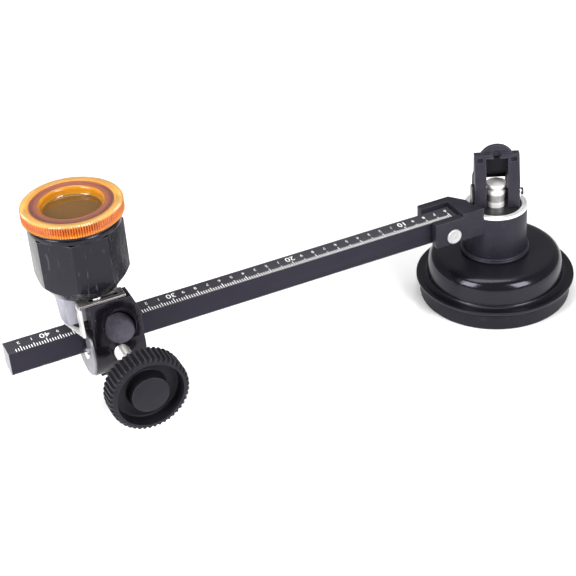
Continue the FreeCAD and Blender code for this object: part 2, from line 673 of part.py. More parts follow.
def along_front(shape):
    """Lay a shape built up the Z axis along -Y through the clamp screw's axis."""
    laid = shape.copy()
    laid.rotate(Vector(0, 0, 0), Vector(1, 0, 0), 90)
    laid.translate(Vector(-HEAD_OUT, 0, STUD_Z))
    return laid


def make_thumb_knob():
    back = KNOB_FACE - KNOB_LEN
    floor = KNOB_FACE - KNOB_WELL
    well = KNOB_R - KNOB_RIM
    knob = turned([
        (0, back - KNOB_HUB_LEN), (KNOB_HUB_R, back - KNOB_HUB_LEN), (KNOB_HUB_R, back),
        (KNOB_R, back), (KNOB_R, KNOB_FACE), (well, KNOB_FACE), (well - KNOB_DRAFT, floor),
        (KNOB_BOSS_R + KNOB_DRAFT, floor), (KNOB_BOSS_R, KNOB_FACE - KNOB_BOSS_IN),
        (0, KNOB_FACE - KNOB_BOSS_IN),
    ])
    rounded = circle_edges(knob, KNOB_R, KNOB_FACE) + circle_edges(knob, KNOB_R, back)
    knob = knob.makeFillet(KNOB_ROUND, rounded)
    grooves = []
    for index in range(KNOB_RIDGES):
        angle = 2 * math.pi * index / KNOB_RIDGES
        place = Vector(KNOB_R * math.cos(angle), KNOB_R * math.sin(angle), back - 1)
        grooves.append(cylinder(KNOB_RIDGE_R, KNOB_LEN + 2, place))
    knob = knob.cut(Part.makeCompound(grooves))
    socket = cylinder(STUD_R, STUD_IN_KNOB, Vector(0, 0, back - KNOB_HUB_LEN))
    return along_front(knob.cut(socket))


def make_knob_stud():
    start = BEAM_W / 2 + STUD_END_GAP
    end = KNOB_FACE - KNOB_LEN - KNOB_HUB_LEN + STUD_IN_KNOB
    stud = cylinder(STUD_R, end - start, Vector(0, 0, start))
    socket = cylinder(PAD_TAIL_R + RUN_GAP, PAD_TAIL + FREE_GAP, Vector(0, 0, start))
    return along_front(stud.cut(socket))


def make_clamp_pad():
    start = BEAM_W / 2 + PAD_GAP
    face = BEAM_W / 2 + STUD_END_GAP - FREE_GAP
    pad = cylinder(PAD_R, face - start, Vector(0, 0, start))
    tail = cylinder(PAD_TAIL_R, PAD_TAIL + FREE_GAP, Vector(0, 0, face))
    return along_front(pad.fuse(tail).removeSplitter())


# ---- Neck, handle and cap ---------------------------------------------------------

def at_handle(shape):
    placed = shape.copy()
    placed.translate(Vector(-HANDLE_OUT, 0, 0))
    return placed


def make_neck_bush():
    return neck_shape(NECK_BOTTOM, NECK_TOP).fuse(neck_spigot()).removeSplitter()


def neck_spigot():
    return cylinder(NECK_SPIGOT_R, NECK_SPIGOT_LEN,
                    Vector(-HANDLE_OUT, 0, NECK_BOTTOM - NECK_SPIGOT_LEN))


def make_handle_body():
    corners = []
    for index in range(8):
        angle = math.radians(HANDLE_TURN + 45 * index)
        corners.append((HANDLE_R * math.cos(angle), HANDLE_R * math.sin(angle), NECK_TOP))
    body = prism(corners, Vector(0, 0, HANDLE_TOP - NECK_TOP))
    limit = turned([
        (0, NECK_TOP), (HANDLE_CHAMFER_R, NECK_TOP), (HANDLE_R, HANDLE_SHOULDER),
        (HANDLE_R, HANDLE_TOP), (0, HANDLE_TOP),
    ])
    body = body.common(limit)
    well = cylinder(HANDLE_WELL_R, HANDLE_TOP, Vector(0, 0, HANDLE_WELL_FLOOR))
    return at_handle(body.cut(well))


def make_handle_collar():
    collar = turned([
        (HANDLE_WELL_R, COLLAR_RIM_Z), (COLLAR_RIM_R, COLLAR_RIM_Z), (COLLAR_RIM_R, SPOUT_Z),
        (SPOUT_R, SPOUT_Z), (SPOUT_R, SPOUT_TOP), (HANDLE_WELL_R, SPOUT_TOP),
    ])
    return at_handle(collar)


def make_cap_gasket():
    return at_handle(turned([
        (CAP_IN_R, SPOUT_Z + THRUST_GAP), (COLLAR_RIM_R, SPOUT_Z + THRUST_GAP),
        (COLLAR_RIM_R, CAP_Z - THRUST_GAP), (CAP_IN_R, CAP_Z - THRUST_GAP),
    ]))


def make_cap_lid():
    under = CAP_TOP - CAP_TOP_T
    dish = CAP_TOP - CAP_STEP - CAP_DISH
    lid = turned([
        (0, dish - CAP_CUP_FLOOR), (CAP_CUP_R, dish - CAP_CUP_FLOOR), (CAP_CUP_R, under),
        (CAP_IN_R, under), (CAP_IN_R, CAP_Z), (CAP_R, CAP_Z), (CAP_R, CAP_TOP),
        (CAP_STEP_R, CAP_TOP), (CAP_STEP_R, CAP_TOP - CAP_STEP),
        (CAP_DISH_R, CAP_TOP - CAP_STEP), (CAP_DISH_R, dish), (0, dish),
    ])
    teeth = []
    for index in range(CAP_TEETH):
        angle = 2 * math.pi * index / CAP_TEETH
        place = Vector(CAP_R * math.cos(angle), CAP_R * math.sin(angle), CAP_Z - 1)
        teeth.append(cylinder(CAP_TOOTH, CAP_SKIRT + 2, place))
    return at_handle(lid.cut(Part.makeCompound(teeth)))


# ---- Pointer ----------------------------------------------------------------------

def slot_middle():
    return (PED_OUT_IN + PED_OUT_OUT) / 2 + SLOT_SHIFT


def pointer_line():
    return -(PED_FRONT + PED_BACK) / 2


def plate_screw_at():
    return slot_middle() + SLOT_LEN / 2 - SLOT_R - POINTER_TRAVEL


def plate_screw_shank():
    place = Vector(-plate_screw_at(), pointer_line(), PED_TOP - PLATE_SCREW_LEN)
    return cylinder(PLATE_SCREW_SHANK_R, PLATE_SCREW_LEN + POINTER_T + FREE_GAP, place)


def make_plate_screw():
    head_z = PED_TOP + POINTER_T + FREE_GAP
    head = cylinder(PLATE_SCREW_R, PLATE_SCREW_T,
                    Vector(-plate_screw_at(), pointer_line(), head_z))
    return head.fuse(plate_screw_shank()).removeSplitter()


def make_pointer_plate():
    low = PED_TOP + FREE_GAP / 2
    top = low + POINTER_T
    front = -PED_FRONT + POINTER_MARGIN
    back = -PED_BACK - POINTER_MARGIN
    outer = max(PED_OUT_OUT, BARREL_OUT) + FREE_GAP + POINTER_TRAVEL
    inner = outer - POINTER_LEN
    plate = out_box(inner, outer, front, back, low, top)
    slot_mid = slot_middle()
    half = SLOT_LEN / 2 - SLOT_R
    line = pointer_line()
    slot = out_box(slot_mid - half, slot_mid + half, line - SLOT_R, line + SLOT_R, low, top)
    for end in (slot_mid - half, slot_mid + half):
        slot = slot.fuse(cylinder(SLOT_R, POINTER_T, Vector(-end, line, low)))
    plate = plate.cut(slot)
    foot = BEAM_TOP + POINTER_ABOVE_BEAM
    step = (top - foot) / 4
    flag = prism([
        (-outer, front, top), (-outer, back, top), (-outer, back, top - step),
        (-outer, back - POINTER_NOTCH, top - step), (-outer, back, top - 2 * step),
        (-outer, back - POINTER_NOTCH, top - 3 * step), (-outer, back, foot),
        (-outer, front, foot),
    ], Vector(-POINTER_T, 0, 0))
    tongue = prism([
        (-outer, front, foot), (-outer, back, foot),
        (-outer - POINTER_TONGUE_OUT, POINTER_TONGUE_PAST, foot),
        (-outer - POINTER_T, front, foot),
    ], Vector(0, 0, POINTER_T))
    return plate.fuse(flag).fuse(tongue).removeSplitter()


# ---- Cutting turret ---------------------------------------------------------------

def turret_centre():
    return Vector(-WHEEL_OUT, 0, TURRET_Z)


def wheel_centre(index):
    angle = 2 * math.pi * index / WHEEL_COUNT - math.pi / 2
    offset = Vector(0, math.cos(angle), math.sin(angle)) * TURRET_PITCH_R
    return turret_centre() + offset


def make_turret_leg():
    half = LEG_W / 2
    leg = out_box(LEG_IN, LEG_OUT, -half, half, TURRET_Z, BARREL_BOTTOM + LEG_FOOT_T)
    round_end = cylinder(half, LEG_T, Vector(-LEG_OUT, 0, TURRET_Z), Vector(1, 0, 0))
    leg = leg.fuse(round_end).fuse(leg_foot()).removeSplitter()
    leg = leg.cut(cylinder(TURRET_SCREW_R, 3 * LEG_T, Vector(-LEG_OUT - LEG_T, 0, TURRET_Z),
                           Vector(1, 0, 0)))
    for place in leg_screw_places():
        leg = leg.cut(leg_screw_shank(place))
    return leg


def leg_foot():
    middle = (LEG_IN + LEG_OUT) / 2
    half = LEG_W / 2
    foot = out_box(middle - LEG_FOOT_L / 2, middle + LEG_FOOT_L / 2, -half, half,
                   BARREL_BOTTOM - LEG_FOOT_T / 2, BARREL_BOTTOM + LEG_FOOT_T)
    return foot


def leg_screw_places():
    middle = (LEG_IN + LEG_OUT) / 2
    reach = (LEG_FOOT_L + LEG_T) / 4
    low = BARREL_BOTTOM - LEG_FOOT_T / 2
    return [Vector(-middle - reach, 0, low), Vector(-middle + reach, 0, low)]


def leg_screw_shank(place):
    return cylinder(LEG_SCREW_R, LEG_FOOT_T + LEG_SCREW_LEN, place)


def make_leg_screws():
    screws = []
    for place in leg_screw_places():
        head = cylinder(LEG_SCREW_HEAD_R, LEG_SCREW_HEAD_T,
                        place - Vector(0, 0, LEG_SCREW_HEAD_T))
        screws.append(head.fuse(leg_screw_shank(place)).removeSplitter())
    return Part.makeCompound(screws)


def make_turret_disc():
    centre = turret_centre()
    start = centre - Vector(TURRET_T / 2, 0, 0)
    disc = cylinder(TURRET_R, TURRET_T, start, Vector(1, 0, 0))
    disc = disc.cut(cylinder(TURRET_SCREW_R + RUN_GAP, TURRET_T, start, Vector(1, 0, 0)))
    for index in range(WHEEL_COUNT):
        wheel = wheel_centre(index)
        gap_start = wheel - Vector(TURRET_SLOT / 2, 0, 0)
        disc = disc.cut(cylinder(TURRET_SLOT_R, TURRET_SLOT, gap_start, Vector(1, 0, 0)))
        axle_start = wheel - Vector(AXLE_LEN / 2, 0, 0)
        disc = disc.cut(cylinder(WHEEL_BORE_R - RUN_GAP, AXLE_LEN, axle_start, Vector(1, 0, 0)))
    return disc


def make_turret_screw():
    near = WHEEL_OUT - TURRET_T / 2 - LEG_GAP
    shank = cylinder(TURRET_SCREW_R, LEG_OUT - near, Vector(-LEG_OUT, 0, TURRET_Z),
                     Vector(1, 0, 0))
    head = cylinder(TURRET_SCREW_HEAD_R, TURRET_SCREW_HEAD_T, Vector(-near, 0, TURRET_Z),
                    Vector(1, 0, 0))
    return shank.fuse(head).removeSplitter()


def make_wheel_axles():
    axles = []
    for index in range(WHEEL_COUNT):
        start = wheel_centre(index) - Vector(AXLE_LEN / 2, 0, 0)
        axles.append(cylinder(WHEEL_BORE_R - RUN_GAP, AXLE_LEN, start, Vector(1, 0, 0)))
    return Part.makeCompound(axles)


def make_cutting_wheel(index):
    centre = wheel_centre(index)
    half = WHEEL_T / 2
    wheel = turned([
        (WHEEL_BORE_R, -half), (WHEEL_R - half, -half), (WHEEL_R, 0), (WHEEL_R - half, half),
        (WHEEL_BORE_R, half),
    ])
    wheel.rotate(Vector(0, 0, 0), Vector(0, 1, 0), 90)
    wheel.translate(centre)
    return wheel


def build():
    pieces = {
        "suction_cup": make_suction_cup(),
        "base_cover": make_base_cover(),
        "pivot_post": make_pivot_post(),
        "lower_collar": make_lower_collar(),
        "chrome_ring": make_chrome_ring(),
        "cam_disc": make_cam_disc(),
        "pull_stem": make_pull_stem(),
        "stem_foot": make_stem_foot(),
        "cam_lever": make_cam_lever(),
        "lever_pin": make_lever_pin(),
        "pin_clip": make_pin_clip(),
        "swivel_fork": make_swivel_fork(),
        "fork_pin": make_fork_pin(),
        "beam_bar": make_beam_bar(),
        "head_barrel": make_head_barrel(),
        "end_plate": make_end_plate(),
        "end_screw": make_end_screw(),
        "barrel_plug": make_barrel_plug(),
        "thumb_knob": make_thumb_knob(),
        "knob_stud": make_knob_stud(),
        "clamp_pad": make_clamp_pad(),
        "neck_bush": make_neck_bush(),
        "handle_body": make_handle_body(),
        "handle_collar": make_handle_collar(),
        "cap_gasket": make_cap_gasket(),
        "cap_lid": make_cap_lid(),
        "plate_screw": make_plate_screw(),
        "pointer_plate": make_pointer_plate(),
        "turret_leg": make_turret_leg(),
        "leg_screws": make_leg_screws(),
        "turret_disc": make_turret_disc(),
        "turret_screw": make_turret_screw(),
        "wheel_axles": make_wheel_axles(),
    }
    for index in range(WHEEL_COUNT):
        pieces["cutting_wheel_%d" % (index + 1)] = make_cutting_wheel(index)
    return pieces


os.makedirs("parts", exist_ok=True)
for name, shape in build().items():
    shape.exportStep("parts/%s.step" % name)
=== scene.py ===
import json
import math

import bmesh
import bpy
from mathutils import Matrix, Vector


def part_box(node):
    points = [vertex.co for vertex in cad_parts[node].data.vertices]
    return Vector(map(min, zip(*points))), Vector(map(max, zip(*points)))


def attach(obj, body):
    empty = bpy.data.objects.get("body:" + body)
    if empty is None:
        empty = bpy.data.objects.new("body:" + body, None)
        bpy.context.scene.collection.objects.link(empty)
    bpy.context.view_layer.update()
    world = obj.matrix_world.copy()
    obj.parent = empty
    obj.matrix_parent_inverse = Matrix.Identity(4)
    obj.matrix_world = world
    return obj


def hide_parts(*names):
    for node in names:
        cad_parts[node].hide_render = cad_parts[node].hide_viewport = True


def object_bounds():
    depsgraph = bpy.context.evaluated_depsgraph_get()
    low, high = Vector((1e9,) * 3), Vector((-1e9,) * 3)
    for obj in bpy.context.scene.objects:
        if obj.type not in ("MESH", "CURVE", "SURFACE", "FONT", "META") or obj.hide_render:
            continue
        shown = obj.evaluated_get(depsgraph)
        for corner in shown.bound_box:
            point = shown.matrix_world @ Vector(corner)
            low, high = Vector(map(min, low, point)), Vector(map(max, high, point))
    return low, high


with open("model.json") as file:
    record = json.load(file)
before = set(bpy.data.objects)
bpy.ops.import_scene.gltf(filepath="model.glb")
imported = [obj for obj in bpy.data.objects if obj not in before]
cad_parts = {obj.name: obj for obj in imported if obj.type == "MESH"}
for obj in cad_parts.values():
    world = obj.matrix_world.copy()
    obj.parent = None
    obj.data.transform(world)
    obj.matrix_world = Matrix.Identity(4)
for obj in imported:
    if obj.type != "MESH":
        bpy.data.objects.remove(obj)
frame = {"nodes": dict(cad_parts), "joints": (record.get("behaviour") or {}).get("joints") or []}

cad_box = [list(corner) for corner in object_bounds()]
mm = 0.001

# ==== Table, camera and studio light =============================================================
# The tool stands on a pale matt table. Two tall soft boxes in front and a wide one overhead give
# the pale bands in the black enamel, and a bright room fills in the rest.
studio = bpy.context.scene
studio.view_settings.view_transform = "Standard"

TURN, DIP, ROLL = math.radians(-23.186), math.radians(33.347), math.radians(-4.298)
ahead = -Vector((math.sin(TURN) * math.cos(DIP), -math.cos(TURN) * math.cos(DIP), math.sin(DIP)))
across = Vector((math.cos(TURN), math.sin(TURN), 0))
above = across.cross(ahead)
right = across * math.cos(ROLL) + above * math.sin(ROLL)
up = above * math.cos(ROLL) - across * math.sin(ROLL)
eye = (-280.433 * mm, -431.351 * mm, 341.41 * mm)
camera = bpy.data.objects.new("camera", bpy.data.cameras.new("camera"))
camera.matrix_world = (Matrix.Translation(eye)
                       @ Matrix((right, up, -ahead)).transposed().to_4x4())
camera.data.sensor_width = 36
camera.data.lens = 89.25
camera.data.clip_start = 0.01
studio.collection.objects.link(camera)
studio.camera = camera

room = bpy.data.worlds.new("room")
room.use_nodes = True
room.node_tree.nodes["Background"].inputs["Color"].default_value = (1.0, 1.0, 1.0, 1)
room.node_tree.nodes["Background"].inputs["Strength"].default_value = 0.3
studio.world = room


def soft_box(name, place, aim, wide, high, power):
    """A rectangular area light at place, turned to face aim. Metres and watts."""
    lamp = bpy.data.lights.new(name, "AREA")
    lamp.shape = "RECTANGLE"
    lamp.size, lamp.size_y, lamp.energy = wide, high, power
    stand = bpy.data.objects.new(name, lamp)
    stand.location = place
    stand.rotation_euler = (Vector(aim) - Vector(place)).to_track_quat("-Z", "Y").to_euler()
    studio.collection.objects.link(stand)


post_foot, beam_middle = (-0.03, 0, 0.03), (-0.1, 0, 0)
soft_box("left_box", (-1.0, -0.22, 0.62), post_foot, 0.44, 0.74, 14)
soft_box("right_box", (0.24, -0.92, 0.62), post_foot, 0.44, 0.74, 14)
soft_box("overhead_box", (-0.1, 0.12, 1.0), beam_middle, 0.8, 0.4, 5)


# Each finish is a small node tree. An Amount is one value in it, and sums on it add Math nodes.
class Amount:
    def __init__(self, finish, socket):
        self.finish, self.socket = finish, socket

    def sum(self, operation, first, second):
        return self.finish.node("ShaderNodeMath", {"operation": operation}, {0: first, 1: second})

    def __add__(self, other):
        return self.sum("ADD", self, other)

    def __sub__(self, other):
        return self.sum("SUBTRACT", self, other)

    def __rsub__(self, other):
        return self.sum("SUBTRACT", other, self)

    def __mul__(self, other):
        return self.sum("MULTIPLY", self, other)

    __radd__, __rmul__ = __add__, __mul__


class Finish:
    """A material for one of the tool's finishes, fed by the piece's own object coordinates."""

    def __init__(self, name, **constants):
        self.material = bpy.data.materials.new(name)
        self.material.use_nodes = True
        self.nodes = self.material.node_tree.nodes
        self.links = self.material.node_tree.links
        self.shader = self.nodes["Principled BSDF"]
        for socket, value in constants.items():
            self.shader.inputs[socket.replace("_", " ")].default_value = value
        self.place = self.node("ShaderNodeTexCoord", {}, {}, "Object")

    def node(self, kind, settings, sockets, out=0):
        """Add a node, set and feed it, and give its output called out as an Amount."""
        made = self.nodes.new(kind)
        for setting, value in settings.items():
            setattr(made, setting, value)
        for socket, value in sockets.items():
            if isinstance(value, Amount):
                self.links.new(value.socket, made.inputs[socket])
            else:
                made.inputs[socket].default_value = value
        return Amount(self, made.outputs[out])

    def level(self, axis):
        """The piece's own X, Y or Z coordinate, in metres."""
        return self.node("ShaderNodeSeparateXYZ", {}, {"Vector": self.place}, axis)

    def mottle(self, size, detail=4, stretch=(1, 1, 1), rough=0.6):
        """Soft random patches about size metres across, from 0 to 1."""
        spread = self.node("ShaderNodeMapping", {}, {"Vector": self.place, "Scale": stretch})
        return self.node("ShaderNodeTexNoise", {}, {
            "Vector": spread, "Scale": 1 / size, "Detail": detail, "Roughness": rough}, "Fac")

    def step(self, amount, low, high):
        """0 below low, 1 above high, and a smooth ramp between them."""
        return self.node("ShaderNodeMapRange", {"interpolation_type": "SMOOTHSTEP"}, {
            "Value": amount, "From Min": low, "From Max": high})

    def edges(self, radius):
        """1 on corners sharper than radius, 0 on open faces: the part that handling wears, and
        where some finishes paint highlights.
        """
        soft = self.node("ShaderNodeBevel", {"samples": 6}, {"Radius": radius})
        flat = self.node("ShaderNodeNewGeometry", {}, {}, "Normal")
        same = self.node("ShaderNodeVectorMath", {"operation": "DOT_PRODUCT"},
                         {0: soft, 1: flat}, "Value")
        return self.step(1 - same, 0.02, 0.16)

    def blend(self, amount, first, second):
        """first where amount is 0 and second where it is 1, both colours."""
        ends = {}
        for socket, colour in ((6, first), (7, second)):
            ends[socket] = colour if isinstance(colour, Amount) else (*colour, 1)
        return self.node("ShaderNodeMix", {"data_type": "RGBA"}, {0: amount, **ends}, 2)

    def wear(self, colour, roughness=None, relief=None, depth=None):
        """Feed the shader. relief is a height from 0 to 1, and depth its size in metres."""
        for socket, amount in (("Base Color", colour), ("Roughness", roughness)):
            if amount is not None:
                self.links.new(amount.socket, self.shader.inputs[socket])
        if relief is not None:
            bump = self.node("ShaderNodeBump", {}, {
                "Height": relief, "Distance": depth, "Strength": 1.0}, "Normal")
            self.links.new(bump.socket, self.shader.inputs["Normal"])


table_top = Finish("pale_table", Roughness=0.75)
cloudy = table_top.mottle(0.3)
table_top.wear(colour=table_top.blend(cloudy, (0.93, 0.93, 0.93), (0.95, 0.95, 0.95)),
               relief=table_top.mottle(0.002), depth=0.00002)
table_mesh = bpy.data.meshes.new("table")
reach = 4
table_mesh.from_pydata([(-reach, -reach, 0), (reach, -reach, 0), (reach, reach, 0),
                        (-reach, reach, 0)], [], [(0, 1, 2, 3)])
table = bpy.data.objects.new("table", table_mesh)
table_mesh.materials.append(table_top.material)
gap = 0.02
table.location.z = cad_box[0][2] - gap * mm
studio.collection.objects.link(table)


# ==== Suction cup ================================================================================
# A moulded black rubber cup with a wide sealing lip, pressed down on the glass. Its wall shows
# under the cover as a matt band with a fine parting line and some dust.
BLACK_SHEEN = (0.86, 0.82, 1.0, 1)  # the faint violet that all the black parts reflect
SOFT_CORNER = 0.25                  # rounding of a corner that asks for none of its own, mm


def fit(mesh, name, body, slot, finish, *nodes, crease=32):
    """Shade a finished mesh, set it on its CAD body and let it stand for its CAD nodes."""
    mesh.name = name
    mesh.materials.clear()
    mesh.materials.append(finish.material)
    mesh.shade_smooth()
    mesh.set_sharp_from_angle(angle=math.radians(crease))
    piece = bpy.data.objects.new(name, mesh)
    studio.collection.objects.link(piece)
    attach(piece, body)
    if nodes:
        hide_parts(*nodes)


def rounded(outline):
    """Round the corners of a closed outline. A point is (radius, height, rounding in mm)."""
    points = [Vector(point[:2]) for point in outline]
    sizes = [point[2] if len(point) > 2 else SOFT_CORNER for point in outline]
    smooth = []
    for index, corner in enumerate(points):
        before, after = points[index - 1], points[(index + 1) % len(points)]
        reach_in, reach_out = (before - corner).length, (after - corner).length
        size = min(sizes[index], 0.45 * reach_in, 0.45 * reach_out)
        if size < 0.01 or corner.x < 1e-6:
            smooth.append(corner)
            continue
        start = corner + (before - corner).normalized() * size
        end = corner + (after - corner).normalized() * size
        steps = 2 if size < 0.5 else 5
        for step in range(steps + 1):
            t = step / steps
            smooth.append(start * (1 - t) ** 2 + corner * 2 * t * (1 - t) + end * t ** 2)
    return smooth


def settled(form, centre=(0, 0, 0), axis="z"):
    """Move a bmesh built along Z to an axis through centre, in mm, and give its mesh."""
    turn = {"z": Matrix.Identity(4), "-y": Matrix.Rotation(math.radians(90), 4, "X")}[axis]
    bmesh.ops.transform(form, matrix=Matrix.Translation(Vector(centre) * mm) @ turn,
                        verts=form.verts)
    bmesh.ops.recalc_face_normals(form, faces=form.faces)
    return freed(form)


def freed(form):
    """The mesh of a bmesh that is no longer needed."""
    mesh = bpy.data.meshes.new("shape")
    form.to_mesh(mesh)
    form.free()
    return mesh


def spun(outline, centre=(0, 0, 0), axis="z", around=128, swell=None):
    """Turn a closed outline of (radius, along) millimetres about an axis through centre."""
    rim = rounded(outline)
    area = sum(a.x * b.y - b.x * a.y for a, b in zip(rim, rim[1:] + rim[:1]))
    if area < 0:
        rim.reverse()
    form = bmesh.new()
    rings = []
    for point in rim:
        if point.x < 1e-6:
            ring = [form.verts.new((0, 0, point.y * mm))] * around
        else:
            ring = []
            for index in range(around):
                angle = 2 * math.pi * index / around
                r = point.x + (swell(point, angle) if swell else 0)
                ring.append(form.verts.new((r * mm * math.cos(angle), r * mm * math.sin(angle),
                                            point.y * mm)))
        rings.append(ring)
    for ring, after in zip(rings, rings[1:] + rings[:1]):
        for index in range(around):
            turn = (index + 1) % around
            corners = [ring[index], ring[turn], after[turn], after[index]]
            kept = [v for spot, v in enumerate(corners) if v not in corners[:spot]]
            if len(kept) > 2:
                form.faces.new(kept)
    return settled(form, centre, axis)


rubber = Finish("black_rubber", Specular_IOR_Level=0.24, Specular_Tint=BLACK_SHEEN)
dust = rubber.step(rubber.mottle(0.006, 6), 0.5, 0.72)
grain = rubber.mottle(0.0004, 3)
lint = rubber.step(rubber.mottle(0.0007, 2, (1, 1, 3)), 0.68, 0.74)
rubber.wear(
    colour=rubber.blend(lint * 0.35 + dust * 0.5, (0.005, 0.005, 0.007), (0.024, 0.023, 0.028)),
    roughness=0.52 + dust * 0.16 - grain * 0.08, relief=grain + rubber.mottle(0.004) * 2,
    depth=0.00006)

cup_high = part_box("suction_cup")[1]
cup_r, cup_top = cup_high.x / mm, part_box("base_cover")[0].z / mm
hollow, web = 3.2, 3                              # under the lip, and the rubber over it
boss_r, boss_top, neck_r = 11, 14.2, 4.3          # the middle that holds the stem's foot
socket_r, socket_low, socket_top = 8.3, 7, 11.8
fit(spun([(0, hollow), (cup_r - 3, 0, 0.3), (cup_r - 0.5, 0, 0.4), (cup_r, 0.8, 0.5),
          (cup_r - 0.15, cup_top - 1.5, 0.3), (cup_r - 0.35, cup_top - 1.2, 0.2),
          (cup_r - 0.4, cup_top - 0.4, 0.3), (cup_r - 0.9, cup_top, 0.3),
          (cup_r - 5, cup_top), (cup_r - 5, hollow + web, 1.0), (boss_r, hollow + web, 1.0),
          (boss_r, boss_top), (neck_r, boss_top), (neck_r, socket_top),
          (socket_r, socket_top), (socket_r, socket_low), (0, socket_low)], around=160),
    "rubber_cup", "base", "black_rubber", rubber, "suction_cup")

# ==== Base cover =================================================================================
# A domed pressing with a flat flange, dipped in black enamel. The dome's wall is glossy, its top
# is rubbed satin by the hand, and the flange's edge shows thin paint.
dome = Finish("cover_enamel", Coat_Weight=0.1, Coat_Roughness=0.08,
              Specular_IOR_Level=0.32, Specular_Tint=BLACK_SHEEN)
CROWN, BRIM = (0.0195, 0.0203), (0.0094, 0.0104)  # heights over which the gloss changes, m
top_face = dome.step(dome.level("Z"), *CROWN)
flange = 1 - dome.step(dome.level("Z"), *BRIM)
smear = dome.mottle(0.02, 5)
speck = dome.step(dome.mottle(0.0006, 2), 0.7, 0.76)
rubbed = dome.edges(0.0004)
dome.wear(
    colour=dome.blend(speck * 0.25 + rubbed * smear * 0.4 + top_face * 0.05,
                      (0.004, 0.0038, 0.006), (0.08, 0.078, 0.095)),
    roughness=0.13 + top_face * 0.16 + flange * 0.16 + smear * 0.08 + speck * 0.15,
    relief=dome.mottle(0.0012, 3) + dome.mottle(0.008) * 2, depth=0.00003)

cover_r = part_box("base_cover")[1].x / mm
dome_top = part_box("base_cover")[1].z / mm
post_r = 9.95
fit(spun([(post_r, dome_top - 1.4, 0.1), (26.2, 18.4, 1.4), (27.0, cup_top + 0.9, 0.9),
          (29.8, cup_top, 0.3), (cover_r - 0.2, cup_top, 0.2), (cover_r, cup_top + 0.35, 0.3),
          (cover_r - 0.05, cup_top + 1.15, 0.35), (cover_r - 1.2, cup_top + 1.2, 0.3),
          (30.9, cup_top + 1.15, 0.3), (30.5, cup_top + 1.05, 0.3), (28.55, cup_top + 1.3, 3.4),
          (27.4, 20.2, 5.2), (13, 20.5, 1.0), (post_r, dome_top, 0.1)],
         around=192),
    "domed_cover", "base", "gloss_black", dome, "base_cover")

# ==== Post, lower collar and chrome ring =========================================================
# The steel post is riveted to the cover. A black washer seats the turning sleeve, and a plated
# ring closes the top, with a dark disc set in it for the lever's cam to bear on.
steel = Finish("plain_steel", Metallic=1.0)
brushed = steel.mottle(0.0003, 3, (1, 1, 12))
stain = steel.mottle(0.003, 5)
steel.wear(colour=steel.blend(stain, (0.72, 0.70, 0.68), (0.50, 0.48, 0.47)),
           roughness=0.2 + brushed * 0.14 + stain * 0.12, relief=brushed, depth=0.00001)

chrome = Finish("bright_chrome", Metallic=1.0)
haze = chrome.mottle(0.004, 4)
pits = chrome.step(chrome.mottle(0.0006, 2), 0.7, 0.76)
chrome.wear(colour=chrome.blend(pits * 0.6 + haze * 0.2, (0.93, 0.93, 0.94), (0.6, 0.59, 0.6)),
            roughness=0.2 + haze * 0.1 + pits * 0.2, relief=chrome.mottle(0.001), depth=0.000008)

satin = Finish("satin_black", Specular_IOR_Level=0.26, Specular_Tint=BLACK_SHEEN)
powder = satin.mottle(0.00035, 3)
cloud = satin.mottle(0.007, 5)
chips = satin.step(satin.mottle(0.0009, 3), 0.66, 0.72)
worn = satin.edges(0.0005)
satin.wear(
    colour=satin.blend(chips * 0.35 + worn * cloud * 0.55 + cloud * 0.08,
                       (0.0085, 0.0075, 0.0125), (0.15, 0.145, 0.165)),
    roughness=0.34 + powder * 0.12 + cloud * 0.06 - worn * 0.08,
    relief=powder + cloud * 1.5, depth=0.00005)

dark_steel = Finish("dark_steel", Metallic=0.6)
tool_marks = dark_steel.mottle(0.0005, 4)
dark_steel.wear(colour=dark_steel.blend(tool_marks, (0.018, 0.018, 0.021), (0.06, 0.058, 0.062)),
                roughness=0.22 + tool_marks * 0.2, relief=tool_marks, depth=0.00002)

collar_low, collar_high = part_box("lower_collar")
collar_r, foot, lid = collar_high.x / mm, collar_low.z / mm, collar_high.z / mm
fit(spun([(post_r, foot), (collar_r - 0.5, foot), (collar_r, foot + 0.4), (collar_r, foot + 1.0),
          (collar_r - 0.3, foot + 1.3, 0.15), (collar_r - 0.3, foot + 1.6, 0.15),
          (collar_r - 0.1, lid - 0.5), (collar_r - 0.6, lid, 0.3), (post_r, lid)]),
    "seat_washer", "base", "satin_black", satin, "lower_collar")

ring_low, ring_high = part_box("chrome_ring")
ring_r, foot, lid = ring_high.x / mm, ring_low.z / mm, ring_high.z / mm
plated = Finish("ring_plating", Metallic=0.55, Coat_Weight=0.4, Coat_Roughness=0.05)
buffing = plated.mottle(0.0008, 3)
plated.wear(colour=plated.blend(buffing, (0.96, 0.96, 0.97), (0.84, 0.84, 0.86)),
            roughness=0.26 + buffing * 0.12, relief=buffing, depth=0.000008)
bore_r, disc_r = 8.6, 10.5
fit(spun([(bore_r, foot), (ring_r - 0.1, foot, 0.1), (ring_r, foot + 0.2),
          (ring_r, lid - 0.35, 0.3), (ring_r - 0.45, lid, 0.3), (ring_r - 1.0, lid, 0.2),
          (ring_r - 1.25, lid - 0.12, 0.1),
          (11.4, lid - 0.12, 0.1), (10.6, lid - 0.1, 0.2), (disc_r, foot + 0.5, 0.1),
          (bore_r, foot + 0.5)], around=160),
    "plated_ring", "base", "bright_chrome", plated, "chrome_ring")

disc_low, disc_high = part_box("cam_disc")
foot, lid, stem_hole = disc_low.z / mm, disc_high.z / mm, 4.05
fit(spun([(stem_hole, foot, 0.02), (disc_r, foot, 0.02), (disc_r, lid - 0.05, 0.05),
          (9.9, lid, 0.1), (7.2, lid, 0.05), (7.0, lid - 0.1, 0.05),
          (stem_hole, lid - 0.1, 0.05)]),
    "bearing_disc", "base", "dark_steel", dark_steel, "cam_disc")

